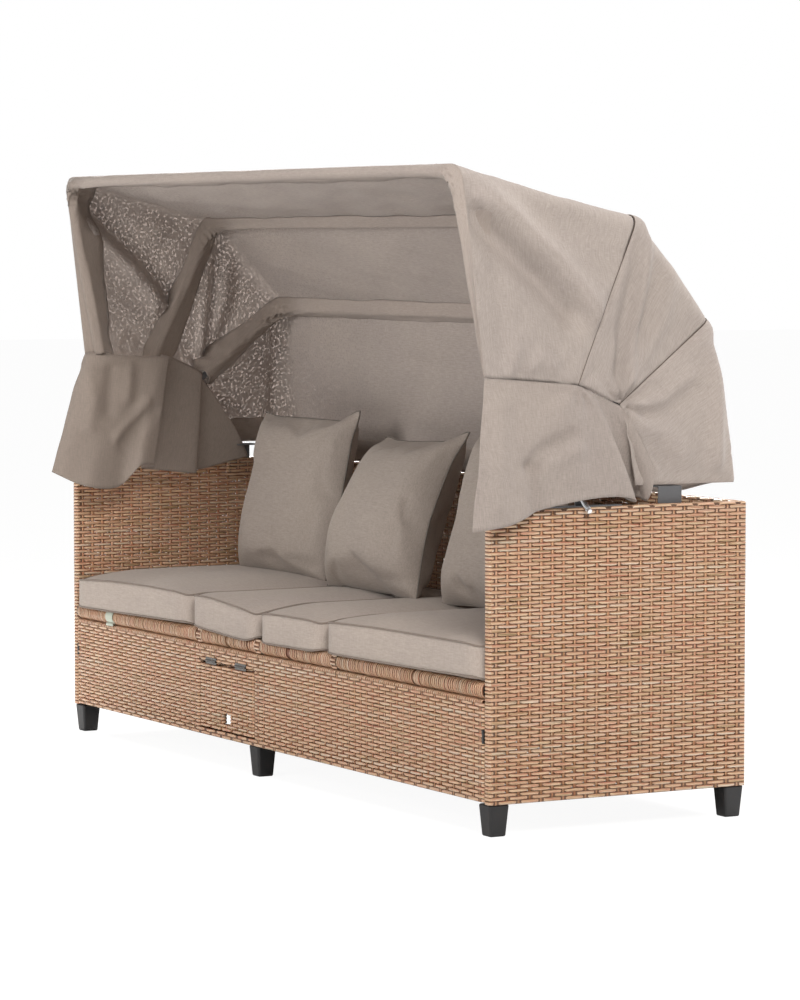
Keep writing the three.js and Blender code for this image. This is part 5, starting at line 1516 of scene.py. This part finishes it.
for index, (name, front, rear) in enumerate(SLEEVES):
    rows, out = sleeve(name, index, front, rear, 80 + 3 * index)
    piece = thick_sheet(f"sleeve_{name}", rows, out, 0.0012, double_cloth, f"{name}_bow")
    print(declare_sheet(piece, rows, [f"{name}_bow"]))

hem = through([on_panel(2, distance, False) for distance in (HEM_STITCH, 0.045, 0.024, 0.003)], 10)
inward = np.array([0.0, *PIVOT]) - hem
piece = thick_sheet("hem_rear", hem, inward, 0.0010, double_cloth)
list(bisector(hem_angle, bow_angle[2]))
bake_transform(piece)
print(declare_sheet(piece, hem, ["canopy_rear_cloth"]))

thread = Finish("thread")
thread = thread.done(thread.skin({"Base Color": linear(92, 80, 72), "Roughness": 0.9}))


def thread_line(name, points, radius, body):
    """A thin closed tube along an open line of places: thread pulled into the cloth."""
    ahead = np.gradient(points, axis=0)
    ahead /= np.linalg.norm(ahead, axis=1, keepdims=True)
    side = np.cross(ahead, [0.31, 0.42, 0.85])
    side /= np.linalg.norm(side, axis=1, keepdims=True)
    up = np.cross(ahead, side)
    ring = circles(points, side, up, radius, 4)
    last = len(points) * 4 - 1
    quads = np.concatenate([grid_quads(len(points), 4, False, True), [[0, 1, 2, 3]],
                            [[last, last - 1, last - 2, last - 3]]])
    return make_piece(name, ring.reshape(-1, 3), quads, thread, body)


for index, name in ((1, "middle"), (2, "rear")):
    seam = (surfaces[index - 1][-1] + surfaces[index][0]) / 2
    thread_line(f"seam_{name}", seam, 0.0011, f"{name}_bow")
print("sleeves and seams")

# %% [markdown]
# ## Loose side cloth
# Below the front and middle panels the cloth hangs free. On the right it falls outside the arm, flares
# to the front and folds back on itself once, under the stitched points. On the left it is tucked inside
# the arm and lies in three layers, one behind the other, each set back a little from the one before.

# %% Skirts
def splined(rows, samples, dense=16):
    """Smooth columns through a table of rows (share, values ...), at the sample shares."""
    table = np.asarray(rows, float)
    tight = through(list(table), dense * (len(table) - 1) + 1)
    order = np.argsort(tight[:, 0], kind="stable")
    tight = tight[order]
    return np.stack([np.interp(samples, tight[:, 0], column) for column in tight[:, 1:].T], -1)


def skirt_surface(top_rows, low_rows, belly, rows=34, columns=150, power=0.85):
    """Rows from the seam down to the free hem; both edges are smooth lines through tables of places. The
    cloth leaves the seam steeply and flares later: its way across is the share down to the given power."""
    share = np.linspace(0, 1, columns)
    top, low = splined(top_rows, share), splined(low_rows, share)
    down = np.linspace(0, 1, rows)[:, None, None]
    blend = down ** power
    surface = top[None] + (low - top)[None] * np.concatenate([blend, blend, down], -1)
    surface[..., 0] += belly * np.sin(np.pi * down[..., 0]) * np.sign(low[:, 0])[None]
    return surface, share, down[..., 0]


RIGHT_TOP = [(0.00, 1.050, 0.0165, 1.0113), (0.20, 1.0566, 0.090, 1.0054), (0.40, 1.0637, 0.165, 0.9993),
             (0.56, 1.0700, 0.2345, 0.9933), (0.66, 1.0690, 0.268, 0.9830), (0.74, 1.0660, 0.292, 0.9730),
             (0.82, 1.0645, 0.316, 0.9630), (0.91, 1.0625, 0.338, 0.9540), (1.00, 1.0610, 0.358, 0.9460)]
RIGHT_LOW = [(0.00, 1.132, -0.062, 0.679), (0.12, 1.134, -0.022, 0.683), (0.26, 1.128, 0.042, 0.692),
             (0.40, 1.120, 0.130, 0.722), (0.52, 1.116, 0.222, 0.738), (0.60, 1.113, 0.305, 0.744),
             (0.66, 1.110, 0.366, 0.738), (0.69, 1.100, 0.380, 0.730), (0.73, 1.076, 0.374, 0.733),
             (0.79, 1.054, 0.378, 0.742), (0.845, 1.050, 0.402, 0.740), (0.885, 1.058, 0.418, 0.734),
             (0.925, 1.076, 0.424, 0.729), (0.96, 1.090, 0.430, 0.756), (1.00, 1.092, 0.436, 0.800)]
surface, share, down = skirt_surface(RIGHT_TOP, RIGHT_LOW, 0.006)
places = surface[..., 1:]
move = fold(places, [(0.080, 0.800), (0.130, 0.848), (0.190, 0.874), (0.236, 0.892)], 0.018, -0.013,
            -0.008, 0.03, 0.02)
move += fold(places, [(0.112, 0.830), (0.104, 0.780), (0.112, 0.705)], 0.022, -0.012)
move += fold(places, [(0.050, 0.98), (0.030, 0.86), (0.005, 0.70)], 0.030, 0.009)
move += fold(places, [(0.200, 0.98), (0.215, 0.88), (0.220, 0.76)], 0.032, 0.010)
move += (gathers(places, LOW_ENDS[1][1:], 0.006, 8, 0.9, 0.06)
         + gathers(places, LOW_ENDS[2][1:], 0.005, 7, 0.3, 0.05))
move += ripples(places[..., 0], places[..., 1], 0.0028, 0.14, 11)
surface[..., 0] += move * smooth(down / 0.08) * smooth((0.67 - share[None]) / 0.08 + 0.35)
piece = thick_sheet("skirt_right_cloth", surface, np.broadcast_to([1.0, 0, 0], surface.shape),
                    CLOTH_THICKNESS, skirt_cloth, down=True)
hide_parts("skirt_right")
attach(piece, "frame")
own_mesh(piece)
print(declare_sheet(piece, surface, ["canopy_front_cloth"]))

LEFT_TOP = [(0.00, -1.050, 0.0165, 1.0150), (0.04, -1.024, 0.026, 1.0170), (0.14, -1.009, 0.075, 1.0110),
            (0.30, -1.008, 0.155, 1.0050), (0.44, -1.006, 0.232, 1.0030), (0.50, -1.008, 0.246, 1.0010),
            (0.56, -1.018, 0.226, 1.0080), (0.64, -1.024, 0.262, 1.0000), (0.74, -1.022, 0.340, 0.9640),
            (0.79, -1.024, 0.350, 0.9500), (0.84, -1.028, 0.338, 0.9560), (0.91, -1.028, 0.375, 0.9150),
            (1.00, -1.028, 0.426, 0.8420)]
LEFT_LOW = [(0.00, -1.015, -0.099, 0.702), (0.05, -0.992, -0.078, 0.689), (0.11, -0.976, -0.046, 0.673),
            (0.18, -0.968, -0.012, 0.662), (0.26, -0.975, 0.036, 0.655), (0.32, -0.984, 0.082, 0.659),
            (0.37, -0.975, 0.110, 0.685), (0.42, -0.964, 0.136, 0.713), (0.47, -0.972, 0.170, 0.716),
            (0.50, -0.982, 0.186, 0.710), (0.55, -1.004, 0.160, 0.706), (0.60, -1.012, 0.176, 0.702),
            (0.66, -1.010, 0.236, 0.696), (0.74, -1.011, 0.318, 0.686), (0.79, -1.022, 0.328, 0.690),
            (0.84, -1.030, 0.310, 0.694), (0.90, -1.030, 0.362, 0.698), (1.00, -1.028, 0.492, 0.728)]
surface, share, down = skirt_surface(LEFT_TOP, LEFT_LOW, -0.004, columns=190)
places = surface[..., 1:]
move = fold(places, [(0.060, 0.78), (0.105, 0.82), (0.150, 0.866), (0.180, 0.90)], 0.014, 0.010,
            0.006, 0.03, 0.02)
move += fold(places, [(0.000, 0.99), (0.010, 0.90), (-0.010, 0.80)], 0.024, 0.010)
move += fold(places, [(0.075, 0.99), (0.060, 0.90), (0.050, 0.84)], 0.020, -0.010)
move += fold(places, [(0.130, 0.99), (0.118, 0.92), (0.110, 0.88)], 0.018, 0.008)
move += ripples(places[..., 0], places[..., 1], 0.0022, 0.12, 13)
surface[..., 0] += move * smooth(down / 0.10) * smooth((0.50 - share[None]) / 0.06 + 0.3)
piece = thick_sheet("skirt_left_cloth", surface, np.broadcast_to([1.0, 0, 0], surface.shape),
                    CLOTH_THICKNESS, double_cloth, down=True)
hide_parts("skirt_left")
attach(piece, "frame")
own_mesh(piece)
print(declare_sheet(piece, surface, ["canopy_front_cloth"]))

# %% [markdown]
# ## Finishes of the metal, plastic and hidden pieces
# The solid pieces keep their own shapes and get their finishes here. The powder-coated tubes have a fine
# grain, the feet and connectors a moulded one, and the hinges and bolts a brushed metal.

# %% Hard finishes
def hard_finish(name, colour, roughness, metal=0.0, grain=400.0, depth=0.0002, spread=0.08, wear=0.06):
    """Colour with faint wear, roughness that varies a little, and a fine bump."""
    finish = Finish(name)
    place = finish.place("Object")
    fine = finish.noise(place, grain, 2.0)
    broad = finish.noise(place, 9.0, 3.0)
    worn, new = 1 - wear, 1 + wear
    shade = finish.ramp(broad, [(0.3, (worn, worn, worn, 1)), (0.7, (new, new, new, 1))])
    base = finish.mix(1.0, linear(*colour), shade, "MULTIPLY")
    bump = finish.bump(fine, depth, 0.35)
    return finish.done(finish.skin({"Base Color": base, "Metallic": metal, "Normal": bump,
                                    "Roughness": (broad - 0.5) * spread + roughness}))


def brushed_finish(name, colour, roughness):
    """Metal with fine lines along its length."""
    finish = Finish(name)
    lines = finish.noise(finish.scaled(finish.place("Object"), (30, 900, 900)), 1.0, 2.0)
    return finish.done(finish.skin({"Base Color": linear(*colour), "Metallic": 1.0,
                                    "Normal": finish.bump(lines, 0.0001, 0.3),
                                    "Roughness": (lines - 0.5) * 0.2 + roughness}))


def woven_finish(name):
    """A plain woven deck: strands both ways, from waves that are in step with the weave's pitch, with painted
    shade where the strands dip.
    """
    finish = Finish(name)
    place = finish.place("Object")
    over = finish.node("ShaderNodeTexWave", {"wave_type": "BANDS", "bands_direction": "X"},
                       {"Vector": place, "Scale": 16.0, "Distortion": 0.0})
    under = finish.node("ShaderNodeTexWave", {"wave_type": "BANDS", "bands_direction": "Y"},
                        {"Vector": place, "Scale": 37.0, "Distortion": 0.0})
    height = over * under
    mood = finish.noise(finish.scaled(place, (6, 120, 6)), 1.0, 1.0)
    tint = finish.ramp(mood, [(0.35, linear(150, 118, 84)), (0.6, linear(190, 152, 118))])
    # painted shade: darker where the weave's height is low, in the dips between strands
    shade = finish.ramp(height, [(0.0, (0.4, 0.36, 0.32, 1)), (0.5, (1, 1, 1, 1))])
    base = finish.mix(1.0, tint, shade, "MULTIPLY")
    bump = finish.bump(height, 0.002, 0.6)
    return finish.done(finish.skin({"Base Color": base, "Roughness": 0.5, "Normal": bump}))


steel = hard_finish("powder_coated_steel", (92, 92, 94), 0.52)
# painted shade: the frames inside the weave are coloured dark brown, the shade seen through the slots between
# strands
frames_painted_shade = hard_finish("inner_steel_painted_shade", (96, 70, 54), 0.6)
foot_plastic = hard_finish("foot_plastic", (26, 25, 26), 0.55, grain=700.0, wear=0.12)
black_plastic = hard_finish("black_plastic", (26, 25, 25), 0.5)
zinc = brushed_finish("zinc", (96, 94, 92), 0.45)
chrome = brushed_finish("chrome", (205, 206, 208), 0.20)
deck = woven_finish("deck")

FINISHES = {
    "arm_frame_right": frames_painted_shade, "arm_frame_left": frames_painted_shade, "back_frame": frames_painted_shade,
    "apron_frame": frames_painted_shade, "seat_frame": frames_painted_shade, "front_bow": steel, "middle_bow": steel,
    "rear_bow": steel, "canopy_bracket_right": steel, "canopy_bracket_left": steel,
    "bow_rest_right": steel, "bow_rest_left": steel, "connector_lower_right": black_plastic,
    "connector_upper_right": black_plastic, "connector_lower_left": black_plastic,
    "connector_upper_left": black_plastic, "hatch_hinge_left": zinc, "hatch_hinge_right": zinc,
    "hatch_leaf_left": zinc, "hatch_leaf_right": zinc, "pivot_bolt_right": chrome, "pivot_bolt_left": chrome,
    "pivot_nut_right": chrome, "pivot_nut_left": chrome, "hand_bolt_right": chrome, "hand_bolt_left": chrome,
}
FINISHES.update({f"foot_{row}_{side}": foot_plastic
                 for row in ("front", "rear") for side in ("left", "middle", "right")})
FINISHES.update({f"seat_panel_{number}": deck for number in range(1, 5)})
for node, finish in FINISHES.items():
    for socket in nodes[node].material_slots:
        socket.material = finish
print(len(FINISHES), "pieces finished")

# %% [markdown]
# ## Strap
# A flat mint-coloured strap comes from under the first cushion and lies over the nose of the rail.

# %% Strap over the rail
strap_finish = cloth_finish("strap_cloth", (182, 188, 174), grain=0.5)
flat_part = np.array([(0.105, 0.3425), (0.06, 0.3425), (0.034, 0.3425)])
angle = np.linspace(np.pi / 2, np.pi * 1.32, 16)
nose = np.stack([0.0135 + 0.0197 * np.cos(angle), 0.3243 + 0.0197 * np.sin(angle)], -1)
tail = np.array([(-0.0036, 0.3080), (-0.0040, 0.3010)])
path = np.concatenate([flat_part, [[0.0136, 0.34405]], nose[1:], tail])
across = np.linspace(-0.884, -0.841, 9)
shape = (len(path), len(across))
sheet = np.stack([np.broadcast_to(part, shape) for part in (across[None], path[:, :1], path[:, 1:])], -1)
out = np.broadcast_to([0.0, -1.0, 1.0], sheet.shape)
piece = thick_sheet("strap_band", sheet, out, 0.0010, strap_finish, "frame")
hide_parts("cushion_strap")
print(declare_sheet(piece, sheet, ["rail_core"]))
